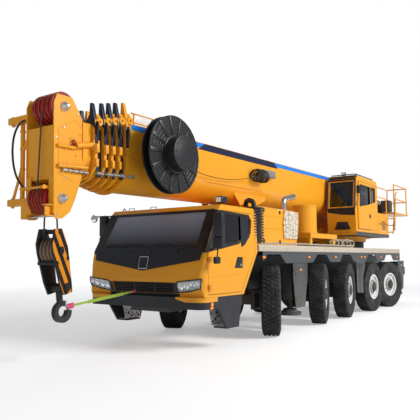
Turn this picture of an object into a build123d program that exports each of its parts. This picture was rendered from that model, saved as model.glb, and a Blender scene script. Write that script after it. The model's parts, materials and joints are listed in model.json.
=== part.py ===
import os
from math import cos, radians, sin, sqrt

from build123d import *

# Five-axle all-terrain mobile crane, parked with its boom laid forward over the cab.
# Millimetres, +X forward, +Y to the crane's left, +Z up. The ground is z = 0, and the
# origin is the middle of the footprint's length and width.

os.makedirs("parts", exist_ok=True)

CLEARANCE = 6
FIT = 0.3
SKIN_GAP = 0.4


def save(builder, label):
    """Label a finished sub-part and write it to its own file."""
    builder.part.label = label
    export_step(builder.part, f"parts/{label}.step")


def box(x_range, y_range, z_range, mode=Mode.ADD):
    """A block between two x, two y and two z, joined to the part in hand."""
    (x0, x1), (y0, y1), (z0, z1) = x_range, y_range, z_range
    with BuildSketch(Plane.XY.offset(z0)) as base:
        with Locations(((x0 + x1) / 2, (y0 + y1) / 2)):
            Rectangle(x1 - x0, y1 - y0)
    extrude(base.sketch, amount=z1 - z0, mode=mode)


def side_plate(points, y0, y1, mode=Mode.ADD):
    """A flat plate drawn in side view as (x, z) points, from y0 to y1."""
    with BuildSketch(Plane.XZ.offset(-y1)) as outline:
        with BuildLine():
            Polyline(*points, close=True)
        make_face()
    extrude(outline.sketch, amount=y1 - y0, mode=mode)


def rod(start, end, radius):
    """A round bar between two points."""
    with BuildSketch(Plane(origin=start, z_dir=Vector(*end) - Vector(*start))) as end_face:
        Circle(radius)
    extrude(end_face.sketch, amount=(Vector(*end) - Vector(*start)).length)


# Axles, wheels and steering. All five axles steer. The kingpins stand inside the rims.
TYRE_D = 1367
TYRE_W = 375
SEAT_R = 317.5
FLANGE_R = 355.5
RIM_HALF = 150
BULGE_R = SEAT_R + 170
SHOULDER = 62
TREAD_EDGE = 34
AXLE_Z = TYRE_D / 2
FRONT_AXLE_X = 2605
KINGPIN_Y = 1020
KINGPIN_TO_WHEEL = 154
AXLES = (
    # distance behind the axle in front, left wheel angle, right wheel angle
    (0, 28.15, 23.2),
    (2325, 17.55, 14.2),
    (1590, 9.99, 8.0),
    (1925, -3.48, -2.8),
    (1640, -14.99, -12.1),
)
RIM_WALL = 14
DISC_AT = 78
DISC_T = 16
HUB_R = 135
HUB_OUT = 150
HUB_CAP_T = 20
BELL_FROM = -18
SPINDLE_R = 95
SPINDLE_OUT = 60
DRUM_R = 235
DRUM_FROM = -62
DRUM_TO = -24
HAND_HOLES = 10
HAND_HOLE_R = 27
HAND_HOLE_PCR = 215
KNUCKLE_R = 75
KNUCKLE_HALF = 140
FORK_R = 80
FORK_T = 45
PIN_R = 36
ARM_DROP = 118
ARM_T = 22
BEAM_HALF_X = 95
BEAM_HALF_Z = 95
DIFF_R = 160
DIFF_HALF_X = 190
STRUT_R = 62
STRUT_Y = 330
BEAM_END = 870
FORK_ROOT = 820
FRAME_Z0 = 850

axle_x = []
for step, _, _ in AXLES:
    axle_x.append((axle_x[-1] if axle_x else FRONT_AXLE_X) - step)


def rings(plane, rows):
    """Rings about a wheel's axis, each from, to, inner radius and outer radius."""
    with BuildSketch(plane) as half_section:
        for start, end, inner, outer in rows:
            with Locations(((start + end) / 2, (inner + outer) / 2)):
                Rectangle(end - start, outer - inner)
    revolve(half_section.sketch, axis=Axis(plane.origin, plane.x_dir))


for number, (_, left_angle, right_angle) in enumerate(AXLES, 1):
    for side_name, side, angle in (("left", 1, left_angle), ("right", -1, right_angle)):
        turn = radians(angle)
        outward = Vector(-side * sin(turn), side * cos(turn), 0)
        kingpin = Vector(axle_x[number - 1], side * KINGPIN_Y, AXLE_Z)
        centre = kingpin + outward * KINGPIN_TO_WHEEL
        across = Vector(outward.Y, -outward.X, 0)
        wheel = Plane(origin=centre, x_dir=outward, z_dir=across)

        with BuildPart() as tyre:
            with BuildSketch(wheel):
                with BuildLine():
                    half = TYRE_W / 2
                    bead = RIM_HALF - RIM_WALL
                    Polyline(
                        (-bead, SEAT_R),
                        (bead, SEAT_R),
                        (bead, FLANGE_R + CLEARANCE),
                        (half, BULGE_R),
                        (half - 6, AXLE_Z - SHOULDER),
                        (half - TREAD_EDGE, AXLE_Z),
                        (TREAD_EDGE - half, AXLE_Z),
                        (6 - half, AXLE_Z - SHOULDER),
                        (-half, BULGE_R),
                        (-bead, FLANGE_R + CLEARANCE),
                        close=True,
                    )
                make_face()
            revolve(axis=Axis(wheel.origin, wheel.x_dir))
        save(tyre, f"tyre_{number}_{side_name}")

        with BuildPart() as rim:
            barrel = RIM_HALF - RIM_WALL + 1
            rings(
                wheel,
                (
                    (-barrel, barrel, SEAT_R - RIM_WALL, SEAT_R - FIT),
                    (-RIM_HALF, -barrel, SEAT_R - RIM_WALL, FLANGE_R),
                    (barrel, RIM_HALF, SEAT_R - RIM_WALL, FLANGE_R),
                    (DISC_AT, DISC_AT + DISC_T, SPINDLE_R + FIT, SEAT_R - RIM_WALL + 1),
                    (BELL_FROM, DISC_AT, SPINDLE_R + FIT, HUB_R),
                    (DISC_AT, HUB_OUT, SPINDLE_R, HUB_R),
                    (HUB_OUT - HUB_CAP_T, HUB_OUT, 0, HUB_R),
                ),
            )
            with BuildSketch(Plane(origin=centre + outward * DISC_AT, z_dir=outward)):
                with PolarLocations(HAND_HOLE_PCR, HAND_HOLES):
                    Circle(HAND_HOLE_R)
            extrude(amount=DISC_T, both=True, mode=Mode.SUBTRACT)
        save(rim, f"rim_{number}_{side_name}")

        with BuildPart() as knuckle:
            with BuildSketch(Plane.XY.offset(AXLE_Z - KNUCKLE_HALF)):
                with Locations((kingpin.X, kingpin.Y)):
                    Circle(KNUCKLE_R)
            extrude(amount=2 * KNUCKLE_HALF)
            with BuildSketch(Plane.XY.offset(AXLE_Z - KNUCKLE_HALF - FORK_T - 2)):
                with Locations((kingpin.X, kingpin.Y)):
                    Circle(PIN_R)
            extrude(amount=2 * (KNUCKLE_HALF + FORK_T + 2))
            rings(
                wheel,
                (
                    (-KINGPIN_TO_WHEEL, DRUM_FROM, 0, SPINDLE_R + 15),
                    (DRUM_FROM, DRUM_TO, 0, DRUM_R),
                    (DRUM_TO, SPINDLE_OUT, 0, SPINDLE_R),
                ),
            )
            arm = Plane(origin=kingpin - Vector(0, 0, ARM_DROP), x_dir=outward, z_dir=(0, 0, 1))
            with BuildSketch(arm):
                with BuildLine():
                    Polyline((-20, -60), (-20, 60), (-50, 115), (-95, 80), (-95, -60), close=True)
                make_face()
            extrude(amount=-ARM_T)
        save(knuckle, f"knuckle_{number}_{side_name}")

with BuildPart() as axle_beams:
    for x in axle_x:
        box(
            (x - BEAM_HALF_X, x + BEAM_HALF_X),
            (-BEAM_END, BEAM_END),
            (AXLE_Z - BEAM_HALF_Z, AXLE_Z + BEAM_HALF_Z),
        )
        with BuildSketch(Plane.XZ.offset(-DIFF_HALF_X)):
            with Locations((x, AXLE_Z)):
                Circle(DIFF_R)
        extrude(amount=2 * DIFF_HALF_X)
        for side in (-1, 1):
            for low in (AXLE_Z - KNUCKLE_HALF - FORK_T, AXLE_Z + KNUCKLE_HALF):
                low += -CLEARANCE / 2 if low < AXLE_Z else CLEARANCE / 2
                with BuildSketch(Plane.XY.offset(low)):
                    with Locations((x, side * KINGPIN_Y)):
                        Circle(FORK_R)
                    with Locations((x, side * (KINGPIN_Y + FORK_ROOT) / 2)):
                        Rectangle(2 * FORK_R, KINGPIN_Y - FORK_ROOT)
                extrude(amount=FORK_T)
            fork_half = KNUCKLE_HALF + FORK_T + CLEARANCE / 2
            box(
                (x - BEAM_HALF_X, x + BEAM_HALF_X),
                sorted((side * (FORK_ROOT - 30), side * (BEAM_END + 10))),
                (AXLE_Z - fork_half, AXLE_Z + fork_half),
            )
            with BuildSketch(Plane.XY.offset(AXLE_Z - KNUCKLE_HALF - 2 * FORK_T)):
                with Locations((x, side * KINGPIN_Y)):
                    Circle(PIN_R + FIT)
            extrude(amount=2 * KNUCKLE_HALF + 4 * FORK_T, mode=Mode.SUBTRACT)
            with BuildSketch(Plane.XY.offset(AXLE_Z)):
                with Locations((x, side * STRUT_Y)):
                    Circle(STRUT_R)
            extrude(amount=FRAME_Z0 - AXLE_Z)
save(axle_beams, "axle_beams")

# Carrier: one box frame, two outrigger boxes across it and the toothed slewing ring.
FRAME_HALF = 430
FRAME_Z1 = 1560
FRAME_REAR = -6900
FRAME_FRONT = 3150
NOSE_FRONT = 4800
NOSE_Z0 = 600
NOSE_LAP = 150
CAB_Z0 = 880
SLEW_X = -3430
RING_R = 930
RING_Z1 = 1950
TEETH = 66
PLINTH_H = 180
OUTRIGGERS = (
    # name, middle of the box along the crane
    ("front", 1435),
    ("rear", -6150),
)
BEAM_W = 250
BEAM_H = 330
BEAM_GAP = 8
BOX_WALL = 30
BOX_Z = 1010
BOX_HALF_Y = 930
PAD_R = 240
PAD_T = 60
PAD_Z = 320
PAD_BOSS_R = 180
PAD_BOSS_H = 70
JACK_Y = 1085
JACK_R = 62
HOUSING = 200
REAR_PLATE_T = 60
REAR_TOP = 1180
GUARD_Y = 700
GUARD_Z0 = 640
TOW_X = -7130
TOW_Z = 880
TOW_H = 200
TOW_EAR_R = 110
TOW_EAR_T = 55
TOW_PIN_R = 25
box_half_x = BEAM_W + BEAM_GAP + 1.5 * BOX_WALL

with BuildPart() as carrier_frame:
    box((FRAME_REAR, FRAME_FRONT), (-FRAME_HALF, FRAME_HALF), (FRAME_Z0, FRAME_Z1))
    side_plate(
        (
            (FRAME_FRONT - NOSE_LAP, NOSE_Z0),
            (NOSE_FRONT, NOSE_Z0),
            (NOSE_FRONT, CAB_Z0),
            (FRAME_FRONT + FIT, CAB_Z0),
            (FRAME_FRONT + FIT, FRAME_Z0 - FIT),
            (FRAME_FRONT - NOSE_LAP, FRAME_Z0 - FIT),
        ),
        -FRAME_HALF,
        FRAME_HALF,
    )
    for _, x in OUTRIGGERS:
        box(
            (x - box_half_x, x + box_half_x),
            (-BOX_HALF_Y, BOX_HALF_Y),
            (BOX_Z - BEAM_H / 2 - BOX_WALL, BOX_Z + BEAM_H / 2 + BOX_WALL),
        )
        for along in (-1, 1):
            middle = x + along * (BEAM_W + BEAM_GAP + BOX_WALL) / 2
            with BuildSketch(Plane.XZ.offset(-BOX_HALF_Y)):
                with Locations((middle, BOX_Z)):
                    Rectangle(BEAM_W + BEAM_GAP, BEAM_H + BEAM_GAP)
            extrude(amount=2 * BOX_HALF_Y, mode=Mode.SUBTRACT)
    with BuildSketch(Plane.XY.offset(FRAME_Z1)):
        with Locations((SLEW_X, 0)):
            Circle(RING_R + 40)
    extrude(amount=PLINTH_H)
    with BuildSketch(Plane.XY.offset(FRAME_Z1 + PLINTH_H)):
        with Locations((SLEW_X, 0)):
            Circle(RING_R - 30)
            with PolarLocations(RING_R - 20, TEETH):
                Trapezoid(50, 52, 74, rotation=-90)
    extrude(amount=RING_Z1 - FRAME_Z1 - PLINTH_H)
    for side in (-1, 1):
        box((FRAME_REAR - REAR_PLATE_T, FRAME_REAR), sorted((side * 240, side * 1180)), (930, REAR_TOP))
        side_plate(
            (
                (FRAME_REAR - REAR_PLATE_T, GUARD_Z0),
                (FRAME_REAR + 260, 1000),
                (FRAME_REAR + 260, REAR_TOP),
                (FRAME_REAR - REAR_PLATE_T, REAR_TOP),
            ),
            side * GUARD_Y - 25,
            side * GUARD_Y + 25,
        )
    box((FRAME_REAR + 230, FRAME_REAR + 290), (-GUARD_Y - 25, GUARD_Y + 25), (1000, REAR_TOP))
    for low in (TOW_Z, TOW_Z + TOW_H - TOW_EAR_T):
        with BuildSketch(Plane.XY.offset(low)):
            with Locations((TOW_X, 0)):
                Circle(TOW_EAR_R)
                Circle(TOW_PIN_R, mode=Mode.SUBTRACT)
        extrude(amount=TOW_EAR_T)
    box((TOW_X + TOW_EAR_R - 25, FRAME_REAR), (-TOW_EAR_R, TOW_EAR_R), (TOW_Z, TOW_Z + TOW_H))
save(carrier_frame, "carrier_frame")

# Outriggers: one beam to each side in every box, with its jack, pad and end cover.
SKIRT_Y = 1275
COVER_T = 14
RUNNER_HALF = 60
HOUSING_Z0 = BOX_Z - 390
JACK_TOP = BOX_Z + 250
COVER = (
    # the end cover's corners: distance from the middle of its box, height
    (-215, 470),
    (240, 470),
    (345, 1120),
    (345, 1390),
    (-345, 1390),
    (-345, 1120),
)
for place, x in OUTRIGGERS:
    for side_name, side, along in (("left", 1, 1), ("right", -1, -1)):
        middle = x + along * (BEAM_W + BEAM_GAP + BOX_WALL) / 2
        with BuildPart() as beam:
            box(
                (middle - BEAM_W / 2, middle + BEAM_W / 2),
                sorted((side * (JACK_Y - HOUSING / 2), side * (20 - BOX_HALF_Y))),
                (BOX_Z - BEAM_H / 2, BOX_Z + BEAM_H / 2),
            )
            box(
                (middle - RUNNER_HALF, middle + RUNNER_HALF),
                sorted((side * (JACK_Y - HOUSING / 2), side * (20 - BOX_HALF_Y))),
                (BOX_Z - BEAM_H / 2 - BEAM_GAP / 2 + FIT, BOX_Z - BEAM_H / 2),
            )
            box(
                (middle - HOUSING / 2, middle + HOUSING / 2),
                sorted((side * (JACK_Y - HOUSING / 2), side * (JACK_Y + HOUSING / 2))),
                (HOUSING_Z0, BOX_Z + 360),
            )
            inner, outer = sorted((side * (JACK_Y + HOUSING / 2), side * (SKIRT_Y - COVER_T)))
            box((middle - RUNNER_HALF, middle + RUNNER_HALF), (inner, outer), (BOX_Z - 60, BOX_Z + 60))
            inner, outer = sorted((side * SKIRT_Y, side * (SKIRT_Y - COVER_T)))
            side_plate(
                [(x + along_x, z) for along_x, z in COVER],
                inner,
                outer,
            )
            with BuildSketch(Plane.XY.offset(HOUSING_Z0)):
                with Locations((middle, side * JACK_Y)):
                    Circle(JACK_R + FIT)
            extrude(amount=700, mode=Mode.SUBTRACT)
        save(beam, f"outrigger_beam_{place}_{side_name}")
        with BuildPart() as jack:
            with BuildSketch(Plane.XY.offset(PAD_Z + PAD_T)):
                with Locations((middle, side * JACK_Y)):
                    Circle(JACK_R)
            extrude(amount=JACK_TOP - PAD_Z - PAD_T)
            with BuildSketch(Plane.XY.offset(PAD_Z)):
                with Locations((middle, side * JACK_Y)):
                    Circle(PAD_R)
            extrude(amount=PAD_T)
            with BuildSketch(Plane.XY.offset(PAD_Z + PAD_T)):
                with Locations((middle, side * JACK_Y)):
                    Circle(PAD_BOSS_R)
            extrude(amount=PAD_BOSS_H, taper=38)
        save(jack, f"outrigger_jack_{place}_{side_name}")

# Deck: a pale edge rail each side, a chequer plate between and ribs down to the frame.
DECK_TOP = 1756
DECK_EDGE_H = 120
DECK_EDGE_W = 60
DECK_FRONT = 3200
DECK_REAR = -6060
DECK_T = 20
RIB_X = (3000, 2050, 1000, -500, -1900, -5050, -5900)
RIB_T = 70
deck_low = DECK_TOP - DECK_EDGE_H

with BuildPart() as deck:
    box((DECK_REAR, DECK_FRONT), (-SKIRT_Y, SKIRT_Y), (DECK_TOP - DECK_T, DECK_TOP))
    for side in (-1, 1):
        inner, outer = sorted((side * SKIRT_Y, side * (SKIRT_Y - DECK_EDGE_W)))
        box((DECK_REAR, DECK_FRONT), (inner, outer), (deck_low, DECK_TOP))
    rib_half_y = SKIRT_Y - DECK_EDGE_W
    for x in RIB_X:
        box((x - RIB_T / 2, x + RIB_T / 2), (-rib_half_y, rib_half_y), (deck_low, DECK_TOP))
        box((x - RIB_T / 2, x + RIB_T / 2), (-FRAME_HALF, FRAME_HALF), (FRAME_Z1, DECK_TOP))
    with BuildSketch(Plane.XY.offset(FRAME_Z1)):
        with Locations((SLEW_X, 0)):
            Circle(RING_R + 60)
    extrude(amount=DECK_TOP - FRAME_Z1, mode=Mode.SUBTRACT)
save(deck, "deck")

# Side panels: a band under the deck edge with a trapezoid cut over every wheel.
PANEL_T = 16
BAND_Z = 1400
ARCH_TOP_Z = 1575
ARCH_TOP_HALF = 265
ARCH_LOW_HALF = 500
WHEEL_SWEEP = 745
PANEL_Z0 = 550

with BuildPart() as side_panels:
    for side in (-1, 1):
        inner, outer = sorted((side * SKIRT_Y, side * (SKIRT_Y - PANEL_T)))
        box((DECK_REAR, DECK_FRONT - 150), (inner, outer), (BAND_Z, deck_low))
        for x in axle_x:
            arch = (
                (x - ARCH_LOW_HALF, BAND_Z - 1),
                (x + ARCH_LOW_HALF, BAND_Z - 1),
                (x + ARCH_TOP_HALF, ARCH_TOP_Z),
                (x - ARCH_TOP_HALF, ARCH_TOP_Z),
            )
            side_plate(arch, inner - 1, outer + 1, mode=Mode.SUBTRACT)
        ahead = axle_x[2] - WHEEL_SWEEP
        behind = axle_x[3] + WHEEL_SWEEP
        side_plate(
            (
                (ahead, PANEL_Z0 + 30),
                (behind, PANEL_Z0),
                (behind, 1000),
                (behind - 160, 1230),
                (behind - 160, BAND_Z),
                (ahead + 90, BAND_Z),
                (ahead + 90, 1230),
                (ahead, 1000),
            ),
            inner,
            outer,
        )
save(side_panels, "side_panels")

# Carrier cab. One form gives the outer skin, the inner skin and everything laid on it.
CAB_HALF = 1300
CAB_FRONT = 5030
CAB_CORNER_R = 140
CAB_TAPER = 2.2
CAB_WALL = 50
CAB_REAR = FRAME_FRONT + 100
CAB_SIDE = (
    # x and z of the cab's outline seen from the side
    (3800, 880),
    (4950, 880),
    (5030, 1120),
    (4985, 1330),
    (4900, 1650),
    (4520, 2320),
    (4420, 2417),
    (CAB_REAR + 80, 2417),
    (CAB_REAR, 2340),
    (CAB_REAR, 1620),
)
SCREEN = ((-1060, 1700), (1060, 1700), (1040, 2290), (-1040, 2290))
DOOR = ((3870, 920), (4870, 920), (4870, 1590), (4400, 2320), (3390, 2320), (3330, 2240), (3330, 1620))
DOOR_GAP = 9
HINGE_X = 4867
HINGE_OUT = 16
HINGE_R = 20.5
HINGE_Z = (1000, 1450)
HINGE_L = 80
DOOR_MIRRORS = {
    # side: x and y of the mirror, its bottom and top, where its lower and upper arms start
    "left": (4810, 1470, 1670, 2225, (4760, 1258, 1640), (4405, 1230, 2230)),
    "right": (4530, 1400, 1775, 2330, (4690, 1250, 1800), (4300, 1228, 2288)),
}
MIRROR_T = 60
MIRROR_HALF = 82
MIRROR_ARM_R = 12
DOOR_WINDOW = ((3900, 1790), (4700, 1720), (4340, 2260), (3540, 2260), (3450, 2180), (3500, 1960))


def shrunk(points, amount):
    """The outline of a closed run of points, moved inward by an amount."""
    with BuildSketch() as outline:
        with BuildLine():
            Polyline(*points, close=True)
        make_face()
        offset(amount=-amount, kind=Kind.INTERSECTION)
    return [(vertex.X, vertex.Y) for vertex in outline.sketch.face().outer_wire().vertices()]


def cab_form(inset):
    """The cab's outer form, or the same form moved inward by an inset."""
    with BuildPart() as form:
        with BuildSketch(Plane.XY.offset(CAB_SIDE[0][1] + inset)):
            with Locations(((CAB_FRONT + 3000) / 2, 0)):
                Rectangle(CAB_FRONT - 3000 - 2 * inset, 2 * (CAB_HALF - inset))
            front = vertices().group_by(Axis.X)[-1]
            fillet(front, CAB_CORNER_R - min(inset, CAB_CORNER_R - 20))
        extrude(amount=1640, taper=CAB_TAPER)
        with BuildSketch(Plane.XZ.offset(-1500)):
            with BuildLine():
                Polyline(*CAB_SIDE, close=True)
            make_face()
            if inset:
                offset(amount=-inset, kind=Kind.INTERSECTION)
        extrude(amount=3000, mode=Mode.INTERSECT)
    return form.part


cab_outer = cab_form(0)
cab_inner = cab_form(CAB_WALL)
GRILLE_HALF = 690
GRILLE_Z0 = 935
GRILLE_Z1 = 1115
GRILLE_DEPTH = 220
LAMP_DEPTH = 190
LAMP = ((705, 945), (1000, 975), (1235, 1030), (1258, 1180), (775, 1125))


def front_cut(points, depth, mode=Mode.SUBTRACT):
    """Something drawn in front view as (y, z) points and run back from the cab's nose."""
    with BuildSketch(Plane.YZ.offset(CAB_FRONT + 50)) as front_view:
        with BuildLine():
            Polyline(*points, close=True)
        make_face()
    extrude(front_view.sketch, amount=-depth, mode=mode)


with BuildPart() as cab_shell:
    add(cab_outer)
    add(cab_inner, mode=Mode.SUBTRACT)
    for side in (-1, 1):
        edge, deep = sorted((side * (CAB_HALF + 20), side * (CAB_HALF - 200)))
        side_plate(DOOR, edge, deep, mode=Mode.SUBTRACT)
    front_cut(SCREEN, 620)
    box(
        (CAB_FRONT + 50 - GRILLE_DEPTH, CAB_FRONT + 50),
        (-GRILLE_HALF, GRILLE_HALF),
        (GRILLE_Z0, GRILLE_Z1),
        mode=Mode.SUBTRACT,
    )
    for side in (-1, 1):
        front_cut([(side * y, z) for y, z in LAMP], LAMP_DEPTH)
save(cab_shell, "cab_shell")

for side_name, side in (("left", 1), ("right", -1)):
    with BuildPart() as door:
        edge, deep = sorted((side * (CAB_HALF + 20), side * (CAB_HALF - 190)))
        side_plate(shrunk(DOOR, DOOR_GAP), edge, deep)
        add(cab_outer, mode=Mode.INTERSECT)
        add(cab_inner, mode=Mode.SUBTRACT)
        side_plate(DOOR_WINDOW, edge, deep, mode=Mode.SUBTRACT)
        hinge_y = CAB_HALF + HINGE_OUT
        for z in HINGE_Z:
            leaf = sorted((side * (hinge_y - 46), side * (hinge_y + HINGE_R)))
            box((HINGE_X - 77, HINGE_X - HINGE_R + 1), leaf, (z, z + HINGE_L))
            rod((HINGE_X, side * hinge_y, z), (HINGE_X, side * hinge_y, z + HINGE_L), HINGE_R)
        x, y, bottom, top, low_arm, high_arm = DOOR_MIRRORS[side_name]
        across = sorted((side * (y - MIRROR_HALF), side * (y + MIRROR_HALF)))
        box((x - MIRROR_T / 2, x + MIRROR_T / 2), across, (bottom, top))
        for (start_x, start_y, start_z), z in ((low_arm, bottom + 40), (high_arm, top - 40)):
            rod((start_x, side * start_y, start_z), (x, side * y, z), MIRROR_ARM_R)
    save(door, f"cab_door_{side_name}")

# Front trim: dark screen surround, grille bars, lamps, bumper with steps, and mirrors.
SURROUND = (
    (-1180, 1480),
    (0, 1305),
    (1180, 1480),
    (1225, 1660),
    (1175, 2340),
    (-1175, 2340),
    (-1225, 1660),
)
BUMPER_Z0 = 690
BUMPER_WALL = 60
BUMPER_REAR = 3830
BUMPER_FRONT = 5020
BUMPER_HALF = CAB_HALF - 15
STEP_PLATE = 50
STEP_IN = CAB_HALF - 300
STEP_OUT = CAB_HALF - 25
TREAD_T = 30
STEP_Z = 330
GRILLE_X = 4960
SLAT_X = 4925
SLAT_EDGE = 0.4
SLAT_T = 14
POST_Y = 230
ROOF_CORNER = (4532.5, -1130, 2320)
SLAT_Z = (955, 990, 1025, 1060, 1095)
LAMP_RECESS = 28
ROUND_MIRROR = (4808, -1390, 2265)
ROUND_MIRROR_R = 72

with BuildPart() as lamps:
    for side in (-1, 1):
        front_cut([(side * y, z) for y, z in shrunk(LAMP, SLAT_EDGE)], LAMP_DEPTH - 1, mode=Mode.ADD)
    add(cab_form(LAMP_RECESS), mode=Mode.INTERSECT)

with BuildPart() as front_trim:
    add(cab_form(-12))
    add(cab_form(-SKIN_GAP), mode=Mode.SUBTRACT)
    front_cut(SURROUND, 640, mode=Mode.INTERSECT)
    front_cut(SCREEN, 700)
    with BuildSketch(Plane.XY.offset(BUMPER_Z0)):
        with Locations(((BUMPER_FRONT + BUMPER_REAR) / 2, 0)):
            Rectangle(BUMPER_FRONT - BUMPER_REAR, 2 * BUMPER_HALF)
        fillet(vertices().group_by(Axis.X)[-1], 160)
        with Locations((BUMPER_FRONT - BUMPER_WALL - 660, 0)):
            Rectangle(1320, 2 * (BUMPER_HALF - BUMPER_WALL), mode=Mode.SUBTRACT)
    extrude(amount=CAB_Z0 - BUMPER_Z0)
    for side in (-1, 1):
        edge, deep = sorted((side * STEP_OUT, side * (STEP_OUT - STEP_PLATE)))
        side_plate(((3850, BUMPER_Z0), (4560, BUMPER_Z0), (4300, STEP_Z), (3930, STEP_Z)), edge, deep)
        edge, deep = sorted((side * STEP_OUT, side * STEP_IN))
        box((3930, 4300), (edge, deep), (STEP_Z, STEP_Z + TREAD_T))
        box((3900, 4560), (edge, deep), (BUMPER_Z0, BUMPER_Z0 + TREAD_T))
    x, y, z = ROUND_MIRROR
    rod(ROOF_CORNER, (x, y, z + ROUND_MIRROR_R / 2), MIRROR_ARM_R)
    rod((x - 15, y, z), (x + 15, y, z), ROUND_MIRROR_R)
    for z in SLAT_Z:
        box(
            (SLAT_X, GRILLE_X + (z - GRILLE_Z0) / 3),
            (SLAT_EDGE - GRILLE_HALF, GRILLE_HALF - SLAT_EDGE),
            (z - SLAT_T / 2, z + SLAT_T / 2),
        )
    for y in (-GRILLE_HALF + 20, -POST_Y, POST_Y, GRILLE_HALF - 20):
        box(
            (SLAT_X, SLAT_X + 20),
            (y - 20 + SLAT_EDGE, y + 20 - SLAT_EDGE),
            (GRILLE_Z0 + SLAT_EDGE, GRILLE_Z1 - SLAT_EDGE),
        )
    add(lamps.part)
save(front_trim, "front_trim")

# Housings on the deck: engine cover with exhaust and heat shield, air duct, upright tank.
ENGINE_REAR = 1340
ENGINE_FRONT = 3010
ENGINE_HALF = 1215
ENGINE_TOP = 2500
ENGINE_CORNER_R = 160
ENGINE_CHAMFER = 45
SHIELD_PROUD = 22
CHANNEL_HALF = 300
CHANNEL_Z = 2200
SHIELD = ((1490, 1900), (2080, 1900), (2120, 2190), (2060, 2470), (1430, 2470), (1430, 2200))
EXHAUST_R = 58
EXHAUST_X = 1830
EXHAUST_Y = 1100
DUCT_X = (3040, 3180)
DUCT_IN = 700
DUCT_TOP = 2480
SHELF_X = (-810, 740)
SHELF_T = 110
SHELF_LEGS_X = (-700, 640)
TANK_X = 470
TANK_Y = 950
TANK_R = 268
TANK_Z0 = 2065
TANK_Z1 = 2710

with BuildPart() as engine_housing:
    with BuildSketch(Plane.XY.offset(DECK_TOP)):
        with Locations(((ENGINE_REAR + ENGINE_FRONT) / 2, 0)):
            Rectangle(ENGINE_FRONT - ENGINE_REAR, 2 * ENGINE_HALF)
        fillet(vertices().group_by(Axis.X)[0], ENGINE_CORNER_R)
    extrude(amount=ENGINE_TOP - DECK_TOP)
    chamfer(edges().group_by(Axis.Z)[-1], ENGINE_CHAMFER)
    box(
        (ENGINE_REAR - 10, ENGINE_FRONT + 10),
        (-CHANNEL_HALF, CHANNEL_HALF),
        (CHANNEL_Z, ENGINE_TOP + 10),
        mode=Mode.SUBTRACT,
    )
    side_plate(SHIELD, ENGINE_HALF - 20, ENGINE_HALF + SHIELD_PROUD)
    with BuildLine(Plane.XZ.offset(-EXHAUST_Y)) as exhaust_run:
        FilletPolyline((EXHAUST_X, ENGINE_TOP - 80), (EXHAUST_X, 2720), (EXHAUST_X - 470, 2830), radius=130)
    with BuildSketch(Plane(origin=exhaust_run.line @ 0, z_dir=exhaust_run.line % 0)):
        Circle(EXHAUST_R)
    sweep(path=exhaust_run.line)
    box(DUCT_X, (DUCT_IN, ENGINE_HALF), (DECK_TOP, DUCT_TOP))
    box(SHELF_X, (DUCT_IN, ENGINE_HALF), (TANK_Z0 - SHELF_T, TANK_Z0))
    for x in SHELF_LEGS_X:
        box((x - 60, x + 60), (DUCT_IN + 40, ENGINE_HALF - 35), (DECK_TOP, TANK_Z0 - SHELF_T + 5))
    with BuildSketch(Plane.XY.offset(TANK_Z0)):
        with Locations((TANK_X, TANK_Y)):
            Circle(TANK_R)
    extrude(amount=TANK_Z1 - TANK_Z0)
save(engine_housing, "engine_housing")

# Superstructure. The boom's own directions are along it and up from it, and its foot pin
# is where both start. It lies a little nose down on the carrier.
FOOT_X = -4930
FOOT_Z = 3170
BOOM_DIP = 0.8
FOOT_PIN_R = 62
TURN_Z0 = RING_Z1 + CLEARANCE
TURN_R = 1000
PLATFORM_Z = 2190
PLATFORM_FRONT = -2365
CHEEK_IN = 472
CHEEK_T = 50
LUFF_X = -2250
LUFF_Z = 2210
LUFF_PIN_R = 50
LUFF_EYE_R = 100
LUFF_EYE_HALF = 170
LUFF_LUG_T = 60
WINCH_X = -6150
WINCH_Z = 2700
WINCH_R = 230
WINCH_FLANGE_R = 340
SILL_Z0 = 2100
SILL_OUT = 1320
SILL_X = (-4800, -1900)
LEFT_BODY_X = (-4790, -3770)
RIGHT_BODY_X = (-4600, -2500)
BODY_TOP = 2800
RAIL_IN = 40
LADDER_X = -5400
LADDER_Z = 2240
LADDER_Y = 900
LADDER_LEAN = 200
RUNG_Z = (2300, 2520, 2740)
RUNG_R = 16
LOFT_Z = 2900
LOFT_X = (-7080, -5560)
RAIL_R = 20
RAIL_TOP = 3860
rail_y = (600, SILL_OUT)

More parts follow.
